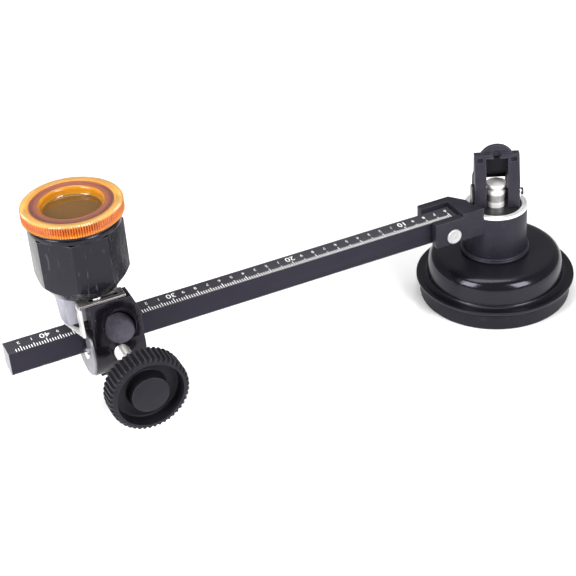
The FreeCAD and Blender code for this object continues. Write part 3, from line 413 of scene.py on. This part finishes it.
for node in ("pivot_post", "stem_foot"):
    frame["nodes"][node].data.materials.clear()
    frame["nodes"][node].data.materials.append(steel.material)


# ==== Pull stem, cam lever and cross pin =========================================================
# A turned steel stem comes up through the ring, with a band round it painted dark as painted
# shade. The cast black lever straddles it on a dark cross pin, which a bright spring clip holds
# at one end.
def deburred(node, width=0.2, sharp=30, rounds=2):
    """A CAD piece's own shape with its sharp edges broken by width millimetres."""
    form = bmesh.new()
    form.from_mesh(frame["nodes"][node].data)
    bmesh.ops.remove_doubles(form, verts=form.verts, dist=1e-6)
    bmesh.ops.dissolve_limit(form, angle_limit=math.radians(0.5), verts=form.verts,
                             edges=form.edges)
    corners = [edge for edge in form.edges
               if len(edge.link_faces) == 2 and edge.calc_face_angle(0) > math.radians(sharp)]
    bmesh.ops.bevel(form, geom=corners, offset=width * mm, segments=rounds, profile=0.6,
                    affect="EDGES", clamp_overlap=True)
    return freed(form)


stem = Finish("turned_steel", Metallic=0.3)
turning = stem.mottle(0.0004, 3, (1, 1, 8))
oil = stem.mottle(0.003, 4)
along = stem.level("Z")
BAND_FOOT, BAND_HEAD = (0.0440, 0.0444), (0.0472, 0.0478)  # soft ends of the band of painted shade, m
# painted shade: a band round the stem is painted dark
band_shade = stem.step(along, *BAND_FOOT) - stem.step(along, *BAND_HEAD)
stem.wear(colour=stem.blend(band_shade * (0.5 + oil * 0.5),
                            stem.blend(oil, (0.86, 0.84, 0.83), (0.64, 0.62, 0.61)),
                            (0.12, 0.115, 0.115)),
          roughness=0.34 + turning * 0.14, relief=turning, depth=0.00001)
fit(deburred("pull_stem", 0.12), "turned_stem", "pull_rod", "bright_chrome", stem, "pull_stem")

lever = Finish("lever_black", Specular_IOR_Level=0.28, Specular_Tint=BLACK_SHEEN)
gate = lever.mottle(0.0005, 3)
handled = lever.mottle(0.004, 5)
corner = lever.edges(0.0005)
hinge = next(joint for joint in frame["joints"] if joint["name"] == "lever_turn")
behind = lever.node("ShaderNodeVectorMath", {"operation": "DOT_PRODUCT"},
                    {0: lever.place, 1: (hinge["axis"][1], -hinge["axis"][0], 0)}, "Value")
rise = lever.level("Z") - hinge["pos_m"][2]
POCKET_BACK, POCKET_TOP = (0.0003, 0.0005), (0.0160, 0.0163)  # edges of the painted shade in the pocket, from the pin's axis, m
# painted shade: the pocket behind the pin and below its top is painted near black
pocket_shade = lever.step(behind, *POCKET_BACK) * (1 - lever.step(rise, *POCKET_TOP))
lever.wear(
    colour=lever.blend(pocket_shade, lever.blend(corner * (0.15 + handled * 0.5) + handled * 0.1,
                                           (0.010, 0.009, 0.0145), (0.16, 0.155, 0.18)),
                       (0.002, 0.002, 0.003)),
    roughness=0.36 + gate * 0.14 + pocket_shade * 0.3, relief=gate + handled, depth=0.00005)
fit(deburred("cam_lever", 0.35), "cast_lever", "lever", "satin_black", lever, "cam_lever")
fit(deburred("lever_pin", 0.2), "cross_pin", "lever", "dark_steel", dark_steel, "lever_pin")
fit(deburred("pin_clip", 0.12), "spring_clip", "lever", "bright_chrome", chrome, "pin_clip")

# ==== Swivelling fork and its pin ================================================================
# A cast sleeve with a forked arm, powder painted, turns round the post. A ground steel pin, peened
# over at both ends, holds the beam in the fork.
fit(deburred("swivel_fork", 0.3), "cast_fork", "swivel", "satin_black", satin, "swivel_fork")

peened = Finish("peened_steel", Metallic=0.6)
hammer = peened.mottle(0.0009, 4)
peened.wear(colour=peened.blend(hammer, (0.60, 0.59, 0.59), (0.36, 0.355, 0.36)),
            roughness=0.36 + hammer * 0.16, relief=hammer, depth=0.00002)

pin_low, pin_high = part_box("fork_pin")
front, back = -pin_low.y / mm, pin_high.y / mm
pin_x, pin_z = (pin_low.x + pin_high.x) / 2 / mm, (pin_low.z + pin_high.z) / 2 / mm
pin_r = (pin_high.x - pin_low.x) / 2 / mm
shank_r, head = 2, 0.8
fit(spun([(0, front - 0.12), (0.5, front - 0.12, 0.1), (0.8, front - 0.18, 0.1),
          (1.6, front - 0.18, 0.1), (1.9, front - 0.08, 0.1), (2.4, front - 0.05, 0.1),
          (2.7, front, 0.15), (pin_r - 0.2, front - 0.05, 0.2), (pin_r, front - 0.35, 0.2),
          (pin_r, front - head, 0.05), (shank_r, front - head, 0.05),
          (shank_r, -back + head, 0.05), (pin_r, -back + head, 0.05), (pin_r, -back + 0.3),
          (pin_r - 0.4, -back, 0.2),
          (0, -back)],
         (pin_x, 0, pin_z), "-y", 64),
    "peened_pin", "swivel", "plain_steel", peened, "fork_pin")

# ==== Beam and its scale =========================================================================
# A square drawn bar, blacked all over but for its sawn outer end. The scale is stamped along the
# front of its top face and filled white, with the circle's diameter in centimetres beside it.
anodised = Finish("black_anodised", Specular_IOR_Level=0.22,
                  Specular_Tint=BLACK_SHEEN)
drawn = anodised.mottle(0.0006, 4, (0.08, 1, 1))
patch = anodised.mottle(0.012, 5)
where, height = anodised.level("X"), anodised.level("Z")
LOW_EDGE, OUTER_END, SAWN_FACE = (0.0350, 0.0362), (-0.190, -0.172), (-0.20878, -0.20872)
low_edge = 1 - anodised.step(height, *LOW_EDGE)
near_end = 1 - anodised.step(where, *OUTER_END)
bare = anodised.step(anodised.mottle(0.0016, 4), 0.56, 0.62) * low_edge * near_end
sawn = 1 - anodised.step(where, *SAWN_FACE)
rub = anodised.edges(0.0004)
bar_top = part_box("beam_bar")[1].z
# painted sheen: the bar's top face is painted a little lighter than its sides
top_sheen = anodised.step(height, bar_top - 0.0002, bar_top - 0.0001)
anodised.wear(
    colour=anodised.blend(
        bare * 0.8 + sawn * 0.5 + rub * (0.12 + patch * 0.3) + top_sheen * (0.03 + patch * 0.04),
        anodised.blend(patch, (0.008, 0.007, 0.0125), (0.015, 0.0135, 0.021)),
        (0.55, 0.54, 0.57)),
    roughness=0.38 + drawn * 0.12 + patch * 0.08, relief=drawn + patch, depth=0.00003)
fit(deburred("beam_bar", 0.15), "scale_bar", "beam", "black_anodised", anodised, "beam_bar")

beam_low, beam_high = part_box("beam_bar")
FIRST_LABEL, LAST_LABEL = 6, 42
ZERO_LABEL = 6.5        # the label L stands 5 L - 6.5 mm out from the pivot
TICK_W, TICK_SHORT, TICK_MID, TICK_LONG = 0.3, 1.9, 2.6, 3.1
TENS_HIGH, UNITS_HIGH, NUMBERS_IN, TICKS_IN = 4.0, 2.3, 2.9, 0.3
INK, SUNK = 0.04, 0.03  # how thick the paint is, and how far it lies below the bar's top

paint = Finish("scale_white", Roughness=0.55)
paint.wear(colour=paint.blend(paint.step(paint.mottle(0.0006, 4), 0.55, 0.75),
                              (1.0, 1.0, 1.0), (0.5, 0.5, 0.53)))


def tick_tree():
    """Geometry Nodes for a row of ticks along X, all one length and one pitch apart."""
    tree = bpy.data.node_groups.new("scale_row", "GeometryNodeTree")
    tree.interface.new_socket("Row", in_out="OUTPUT", socket_type="NodeSocketGeometry")
    for label in ("Count", "Pitch", "Length", "Width", "Thickness"):
        kind = "NodeSocketInt" if label == "Count" else "NodeSocketFloat"
        tree.interface.new_socket(label, in_out="INPUT", socket_type=kind)
    asked, line, step, size, tick, spread, real, dress, made = [tree.nodes.new(kind) for kind in (
        "NodeGroupInput", "GeometryNodeMeshLine", "ShaderNodeCombineXYZ", "ShaderNodeCombineXYZ",
        "GeometryNodeMeshCube", "GeometryNodeInstanceOnPoints", "GeometryNodeRealizeInstances",
        "GeometryNodeSetMaterial", "NodeGroupOutput")]
    dress.inputs["Material"].default_value = paint.material
    for source, out, target, into in (
            (asked, "Count", line, "Count"), (asked, "Pitch", step, "X"),
            (step, "Vector", line, "Offset"), (asked, "Width", size, "X"),
            (asked, "Length", size, "Y"), (asked, "Thickness", size, "Z"),
            (size, "Vector", tick, "Size"), (line, "Mesh", spread, "Points"),
            (tick, "Mesh", spread, "Instance"), (spread, "Instances", real, "Geometry"),
            (real, "Geometry", dress, "Geometry"), (dress, "Geometry", made, "Row")):
        tree.links.new(source.outputs[out], target.inputs[into])
    return tree


def baked(holder):
    """The plain mesh that an object comes out as. The object itself goes."""
    live = holder.evaluated_get(bpy.context.evaluated_depsgraph_get())
    mesh = bpy.data.meshes.new_from_object(live)
    bpy.data.objects.remove(holder)
    return mesh


def grown(tree, **settings):
    """The plain mesh that a node tree makes with these settings."""
    holder = bpy.data.objects.new(tree.name, bpy.data.meshes.new(tree.name))
    studio.collection.objects.link(holder)
    nodes = holder.modifiers.new("nodes", "NODES")
    nodes.node_group = tree
    sockets = {item.name: item.identifier for item in tree.interface.items_tree
               if item.in_out == "INPUT"}
    for label, value in settings.items():
        nodes[sockets[label]] = value
    return baked(holder)


def joined(meshes):
    """One mesh out of several."""
    form = bmesh.new()
    for mesh in meshes:
        form.from_mesh(mesh)
    return freed(form)


top_z = beam_high.z + INK / 2 * mm - SUNK * mm
front_y = beam_low.y + TICKS_IN * mm
ticks = []
first = FIRST_LABEL * 5 - ZERO_LABEL
labels = LAST_LABEL - FIRST_LABEL + 1
row = tick_tree()
for start, pitch, count, length in (
        (first, 10, labels - labels // 2, TICK_LONG), (first + 5, 10, labels // 2, TICK_MID),
        (first + 1, 5, labels, TICK_SHORT), (first + 2, 5, labels, TICK_SHORT),
        (first + 3, 5, labels - 1, TICK_SHORT), (first + 4, 5, labels - 1, TICK_SHORT)):
    strip = grown(row, Count=count, Pitch=-pitch * mm, Length=length * mm, Width=TICK_W * mm,
                  Thickness=INK * mm)
    strip.transform(Matrix.Translation((-start * mm, front_y + length / 2 * mm, top_z)))
    ticks.append(strip)
fit(joined(ticks), "scale_ticks", "beam", "black_anodised", paint)

digits = []
for label in range(FIRST_LABEL, LAST_LABEL + 1):
    in_full = label % 10 == 0
    text = bpy.data.curves.new("label", "FONT")
    text.body = str(label) if in_full else str(label % 10)
    text.size = (TENS_HIGH if in_full else UNITS_HIGH) * mm
    text.align_x, text.align_y = "CENTER", "CENTER"
    text.extrude = INK / 2 * mm
    holder = bpy.data.objects.new("label", text)
    studio.collection.objects.link(holder)
    mesh = baked(holder)
    spot = (-(5 * label - ZERO_LABEL) * mm, beam_high.y - NUMBERS_IN * mm, top_z)
    mesh.transform(Matrix.Translation(spot) @ Matrix.Rotation(math.pi, 4, "Z"))
    digits.append(mesh)
fit(joined(digits), "scale_numbers", "beam", "black_anodised", paint)

# ==== Cutter head ================================================================================
# The barrel and the shoulder under the pointer are one casting in thick black enamel. A grey
# pressed plate and its screw close the outboard end, and a slanting plug closes a side hole.
enamel = Finish("black_enamel", Coat_Weight=0.06, Coat_Roughness=0.12,
                Specular_IOR_Level=0.28, Specular_Tint=BLACK_SHEEN)
ripple = enamel.mottle(0.0022, 3)
finger = enamel.mottle(0.006, 6)
nick = enamel.step(enamel.mottle(0.0007, 3), 0.69, 0.74)
thin = enamel.edges(0.0005)
enamel.wear(
    colour=enamel.blend(nick * 0.3 + thin * finger * 0.45, (0.0035, 0.003, 0.0048),
                        (0.18, 0.17, 0.19)),
    roughness=0.16 + finger * 0.14 + nick * 0.2, relief=ripple * 2 + finger, depth=0.00007)
fit(deburred("head_barrel", 0.45), "cast_barrel", "head", "black_enamel", enamel, "head_barrel")

grey = Finish("grey_alloy", Metallic=0.6)
cast = grey.mottle(0.0006, 4)
dull = grey.mottle(0.005, 5)
grey.wear(colour=grey.blend(dull, (0.34, 0.33, 0.36), (0.16, 0.155, 0.175)),
          roughness=0.3 + cast * 0.16 + dull * 0.1, relief=cast + dull, depth=0.00003)
fit(deburred("end_plate", 0.2), "outboard_plate", "head", "grey_alloy", grey, "end_plate")
fit(deburred("end_screw", 0.25), "plate_fixing", "head", "bright_chrome", chrome, "end_screw")

plug = Finish("plug_black", Specular_IOR_Level=0.5, Specular_Tint=BLACK_SHEEN)
thumb = plug.mottle(0.003, 6)
dab = plug.step(plug.mottle(0.0012, 4), 0.6, 0.7)
plug.wear(colour=plug.blend(thumb * 0.9 + dab * 0.5 - 0.25, (0.006, 0.005, 0.009),
                            (0.075, 0.068, 0.085)),
          roughness=0.46 + thumb * 0.14, relief=thumb * 2 + dab, depth=0.0001)
fit(deburred("barrel_plug", 0.3), "side_plug", "head", "black_enamel", plug, "barrel_plug")

# ==== Clamp knob and stud ========================================================================
# The knob is moulded in black plastic with rounded finger ribs and a flat boss inside a deep
# ring-shaped well. Its bright threaded stud is moulded in, runs through the barrel and presses a
# brass pad against the beam.
plastic = Finish("knob_plastic", Specular_IOR_Level=0.22, Specular_Tint=BLACK_SHEEN)
moulded = plastic.mottle(0.0005, 3)
hands = plastic.mottle(0.005, 5)
rib_glint = plastic.edges(0.0005)
# painted highlights: the ribs' sharp edges are painted lighter, unevenly
plastic.wear(
    colour=plastic.blend(rib_glint * (0.35 + hands * 0.6) + hands * 0.1, (0.0035, 0.0035, 0.005),
                         (0.09, 0.09, 0.105)),
    roughness=0.4 + moulded * 0.1 + hands * 0.08, relief=moulded + hands, depth=0.00004)

knob_low, knob_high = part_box("thumb_knob")
knob_x, knob_z = (knob_low.x + knob_high.x) / 2 / mm, (knob_low.z + knob_high.z) / 2 / mm
face, knob_r, RIBS = -knob_low.y / mm, (knob_high.x - knob_low.x) / 2 / mm, 46
KNOB_THICK = 9.5
rear = face - KNOB_THICK
RIB_BAND, RIB_DEEP, GROOVE = 1.6, 0.85, 0.66  # the last is a groove's share of one rib's pitch
knob_rim, knob_boss, well = 2.4, 7.4, 5.4


def ribbed(point, angle):
    """Cut rounded grooves between the finger ribs, only on the knob's outer side."""
    if point.x < knob_r - RIB_BAND:
        return 0
    depth = RIB_DEEP * min(1, (point.x - knob_r + RIB_BAND) / 1.3)
    phase = (angle * RIBS / (2 * math.pi) + 0.5) % 1
    away = abs(phase - 0.5) * 2
    return -depth * math.sqrt(1 - (away / GROOVE) ** 2) if away < GROOVE else 0


fit(spun([(0, rear - 2), (5, rear - 2, 0.4), (5.2, rear - 0.1, 0.3), (11.5, rear, 0.2),
          (knob_r - 1.0, rear, 0.4), (knob_r - 0.25, rear + 0.5, 0.4), (knob_r, rear + 1.6, 0.5),
          (knob_r, rear + 4.7, 0.2), (knob_r, face - 1.8, 0.4), (knob_r - 0.3, face - 0.8, 0.4),
          (knob_r - 1.1, face - 0.15, 0.5), (knob_r - 1.9, face, 0.4),
          (knob_r - knob_rim, face, 0.4), (knob_r - knob_rim - 0.4, face - well + 0.1, 0.8),
          (knob_boss, face - well, 0.8), (knob_boss - 0.4, face - 0.3, 0.25), (0, face - 0.28)],
         (knob_x, 0, knob_z), "-y", RIBS * 8, ribbed),
    "finger_knob", "knob", "satin_black", plastic, "thumb_knob", crease=38)

stud_low, stud_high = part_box("knob_stud")
stud_r, tip, tail = (stud_high.x - stud_low.x) / 2 / mm, -stud_high.y / mm, -stud_low.y / mm
PITCH, THREAD, ROWS_A_TURN = 1.0, 0.42, 8


def threaded(radius, depth, pitch, start, end, centre, around=40):
    """A rod with one helical thread along -Y, closed at both ends."""
    form = bmesh.new()
    rows = int((end - start) / pitch * ROWS_A_TURN)
    grid = []
    for row in range(rows + 1):
        along = start + (end - start) * row / rows
        ring = []
        for index in range(around):
            angle = 2 * math.pi * index / around
            phase = (along / pitch - index / around) % 1
            fade = min(1, row / ROWS_A_TURN, (rows - row) / ROWS_A_TURN)
            r = (radius - depth * fade * abs(2 * phase - 1)) * mm
            ring.append(form.verts.new((r * math.cos(angle), r * math.sin(angle), along * mm)))
        grid.append(ring)
    for ring, after in zip(grid, grid[1:]):
        for index in range(around):
            turn = (index + 1) % around
            form.faces.new((ring[index], ring[turn], after[turn], after[index]))
    form.faces.new(list(reversed(grid[0])))
    form.faces.new(grid[-1])
    return settled(form, centre, "-y")


fit(threaded(stud_r, THREAD, PITCH, tip, tail, (knob_x, 0, knob_z)), "threaded_stud", "knob",
    "plain_steel", steel, "knob_stud", crease=50)

brass = Finish("brass", Metallic=1.0)
tarnish = brass.mottle(0.002, 4)
brass.wear(colour=brass.blend(tarnish, (0.75, 0.55, 0.25), (0.42, 0.28, 0.12)),
           roughness=0.25 + tarnish * 0.2, relief=tarnish, depth=0.00002)
fit(deburred("clamp_pad", 0.15), "pressure_pad", "pad", "brass", brass, "clamp_pad")

# ==== Neck, oil bottle and collar ================================================================
# The handle is the oil bottle: an eight-sided moulding in glossy black plastic on a grey cast
# neck, with a round collar and spout at its mouth.
neck = Finish("neck_alloy", Metallic=0.55)
blast = neck.mottle(0.0004, 3)
shade = neck.mottle(0.006, 4)
neck.wear(colour=neck.blend(shade, (0.42, 0.42, 0.47), (0.26, 0.26, 0.31)),
          roughness=0.42 + blast * 0.15, relief=blast + shade, depth=0.00004)
fit(deburred("neck_bush", 0.3), "grey_neck", "head", "grey_alloy", neck, "neck_bush")

bottle = Finish("bottle_black", Coat_Weight=0.08, Coat_Roughness=0.06,
                Specular_IOR_Level=0.26, Specular_Tint=BLACK_SHEEN)
flow = bottle.mottle(0.009, 3)
scuff = bottle.mottle(0.0012, 6)
scratch = bottle.step(bottle.mottle(0.0016, 5, (1, 1, 0.2)), 0.6, 0.68)
edge_glint = bottle.edges(0.0006)
# painted highlights: the moulding's edges are painted lighter, unevenly
bottle.wear(
    colour=bottle.blend(scratch * 0.14 + edge_glint * (0.1 + scuff * 0.5), (0.0035, 0.0033, 0.0055),
                        (0.2, 0.19, 0.22)),
    roughness=0.16 + flow * 0.1 + scratch * 0.12, relief=flow * 4 + scuff, depth=0.00006)
fit(deburred("handle_body", 0.8, 20, 3), "oil_bottle", "head", "gloss_black", bottle,
    "handle_body")

mouth_low, mouth_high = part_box("handle_collar")
hub_x = (mouth_low.x + mouth_high.x) / 2 / mm
mouth_r, foot, lid = (mouth_high.x - mouth_low.x) / 2 / mm, mouth_low.z / mm, mouth_high.z / mm
spout_r, well_r, shoulder = mouth_r - 1.8, mouth_r - 4.4, foot + 3.0
fit(spun([(well_r, foot, 0.1), (mouth_r - 0.4, foot, 0.2), (mouth_r, foot + 0.4, 0.3),
          (mouth_r, foot + 1.9, 0.3), (mouth_r - 0.3, foot + 2.3, 0.2),
          (mouth_r - 0.3, shoulder, 0.2), (spout_r, shoulder, 0.2), (spout_r, lid - 0.4, 0.3),
          (spout_r - 0.5, lid, 0.2), (well_r + 0.5, lid, 0.3), (well_r, lid - 0.5, 0.2)],
         (hub_x, 0, 0)),
    "bottle_mouth", "head", "gloss_black", bottle, "handle_collar")

seal_low, seal_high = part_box("cap_gasket")
foot, lid = seal_low.z / mm, seal_high.z / mm
seal_in, seal_out = 15.5, 17.0
fit(spun([(seal_in, foot, 0.05), (seal_out, foot, 0.1), (seal_out, lid, 0.1),
          (seal_in, lid, 0.05)],
         (hub_x, 0, 0)),
    "cap_seal", "gasket", "black_rubber", rubber, "cap_gasket")

# ==== Amber cap ==================================================================================
# A screw cap moulded in clear amber plastic, with a fine knurl round its skirt, a thick flange
# and a shallow cup sunk in the middle. Its colour is painted light and shade, which change with
# height and radius: painted shade in the knurl's grooves and in a ring over the black mouth, a
# painted glow along the skirt's foot, over the flange and on the cup's wall, and a painted dark
# cup floor.
cap_low, cap_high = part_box("cap_lid")
cap_r, foot, lid = (cap_high.x - cap_low.x) / 2 / mm, cap_low.z / mm, cap_high.z / mm
bowl_out, bowl_wall, bowl_deep, TEETH = well_r - 0.3, 1.1, 3.4, 124

amber = Finish("amber_clear", IOR=1.49, Transmission_Weight=0.62, Specular_IOR_Level=0.7)
swirl = amber.mottle(0.012, 2)
bits = amber.step(amber.mottle(0.0008, 3), 0.7, 0.76)
level = amber.level("Z")
flat = amber.node("ShaderNodeVectorMath", {"operation": "MULTIPLY"},
                  {0: amber.place, 1: (1, 1, 0)}, 0)
out = amber.node("ShaderNodeVectorMath", {"operation": "DISTANCE"},
                 {0: flat, 1: (hub_x * mm, 0, 0)}, "Value")
round_cap = amber.node("ShaderNodeMath", {"operation": "ARCTAN2"},
                       {0: amber.level("Y"), 1: amber.level("X") - hub_x * mm})
wave = amber.node("ShaderNodeMath", {"operation": "COSINE"}, {0: round_cap * TEETH})
groove_shade = 0.5 - wave * 0.5
# painted light and shade on the skirt: darker in the knurl's grooves, a bright painted glow along
# its foot
skirt = amber.blend(amber.step(level, (foot + 0.9) * mm, (foot + 2.2) * mm),
                    amber.blend(groove_shade, (1.0, 0.50, 0.02), (0.95, 0.22, 0.008)),
                    amber.blend(groove_shade, (1.0, 0.26, 0.012), (0.42, 0.05, 0.004)))
# painted light: the flange is painted brighter and yellower towards its rim
flange = amber.blend(amber.step(out, (spout_r + 0.2) * mm, (cap_r - 0.4) * mm),
                     (1.0, 0.50, 0.12), (1.0, 0.74, 0.26))
upper = amber.blend(amber.step(level, (lid - 1.1) * mm, (lid - 0.3) * mm), skirt, flange)
# painted shade: a dark ring where the black mouth shows through the amber
shaded = amber.blend(amber.step(out, (spout_r - 0.5) * mm, (spout_r + 0.2) * mm),
                     amber.blend(amber.step(out, (bowl_out + 0.2) * mm, (spout_r - 0.6) * mm),
                                 (0.62, 0.22, 0.14), (0.30, 0.12, 0.10)), upper)
# painted light and shade in the cup: a bright orange painted wall and a dark painted floor
deep = amber.blend(swirl, (0.42, 0.21, 0.05), (0.20, 0.10, 0.03))
bowl_glow_and_shade = amber.blend(amber.step(level, (lid - 3.6) * mm, (lid - 3.0) * mm), deep,
                    (1.0, 0.45, 0.03))
within = amber.step(out, (bowl_out - 0.7) * mm, (bowl_out - 0.2) * mm)
amber.wear(colour=amber.blend(within, bowl_glow_and_shade, shaded),
           roughness=0.03 + bits * 0.2 + swirl * 0.04, relief=swirl, depth=0.00003)


KNURL_BAND, KNURL_DEEP = 0.8, 0.45


def knurled(point, angle):
    """Fine rounded teeth on the skirt, fading over the flange's edge."""
    if point.x < cap_r - KNURL_BAND:
        return 0
    fade = min(1, (point.x - cap_r + KNURL_BAND) / 0.4)
    return -KNURL_DEEP * fade * (0.5 - 0.5 * math.cos(TEETH * angle))


under, skirt_r, bowl_in, face = lid - 2.2, spout_r + 0.3, bowl_out - bowl_wall, lid - 0.4
fit(spun([(0, foot, 0), (bowl_out, foot, 0.4), (bowl_out, under, 0.2), (skirt_r, under, 0.3),
          (skirt_r, foot + 0.3, 0.2), (spout_r + 0.6, foot, 0.2),
          (cap_r - 0.5, foot, 0.2), (cap_r, foot + 0.4, 0.2), (cap_r, lid - 0.6, 0.2),
          (cap_r - 0.6, lid, 0.3), (spout_r + 0.5, lid, 0.2), (spout_r + 0.1, face, 0.2),
          (bowl_in + 0.6, face, 0.3), (bowl_in, lid - 1.0, 0.3),
          (bowl_in - 0.2, face - bowl_deep, 1.2), (0, face - bowl_deep, 0)],
         (hub_x, 0, 0), "z", TEETH * 4, knurled),
    "amber_cap", "cap", "amber_clear", amber, "cap_lid", crease=40)

# ==== Scale pointer ==============================================================================
# A plated steel strip lies in the shoulder's top, held by one screw through a slot so that it can
# be set. Its end is bent down in steps and reads the scale on the beam.
nickel = Finish("dark_nickel", Metallic=0.55)
strip_edge_highlight = nickel.edges(0.0006)
film = nickel.mottle(0.0025, 5)
BEND = (0.0585, 0.0592)  # the height below which the bent end is painted bright as a painted highlight, m
bent_end_highlight = 1 - nickel.step(nickel.level("Z"), *BEND)
# painted highlights: the strip's edges and its bent end are painted near white
nickel.wear(colour=nickel.blend(strip_edge_highlight * 0.85 + bent_end_highlight * 0.85 + film * 0.12, (0.13, 0.12, 0.115),
                                (0.92, 0.90, 0.88)),
            roughness=0.2 + film * 0.2, relief=film, depth=0.00002)
fit(deburred("pointer_plate", 0.15), "reading_strip", "pointer", "bright_chrome", nickel,
    "pointer_plate")
fit(deburred("plate_screw", 0.3), "strip_screw", "head", "bright_chrome", chrome, "plate_screw")

# ==== Cutting turret =============================================================================
# A cast leg under the barrel carries a brass disc with six hard wheels on steel axles. One screw
# holds the disc, and turning it brings a fresh wheel to the bottom.
fit(deburred("turret_leg", 0.3), "turret_arm", "head", "black_enamel", enamel, "turret_leg")
fit(deburred("leg_screws", 0.2), "arm_screws", "head", "plain_steel", steel, "leg_screws")
fit(deburred("turret_disc", 0.15), "wheel_holder", "turret", "brass", brass, "turret_disc")
fit(deburred("turret_screw", 0.2), "holder_screw", "head", "plain_steel", steel, "turret_screw")
fit(deburred("wheel_axles", 0.05), "wheel_pins", "turret", "plain_steel", steel, "wheel_axles")

carbide = Finish("carbide", Metallic=0.9)
ground = carbide.mottle(0.0002, 3)
carbide.wear(colour=carbide.blend(ground, (0.34, 0.34, 0.36), (0.22, 0.22, 0.24)),
             roughness=0.18 + ground * 0.2, relief=ground, depth=0.000005)
for number in range(1, 7):
    node = f"cutting_wheel_{number}"
    fit(deburred(node, 0.04, 40, 1), f"hard_wheel_{number}", f"wheel_{number}", "carbide",
        carbide, node)

studio.view_layers[0].update()
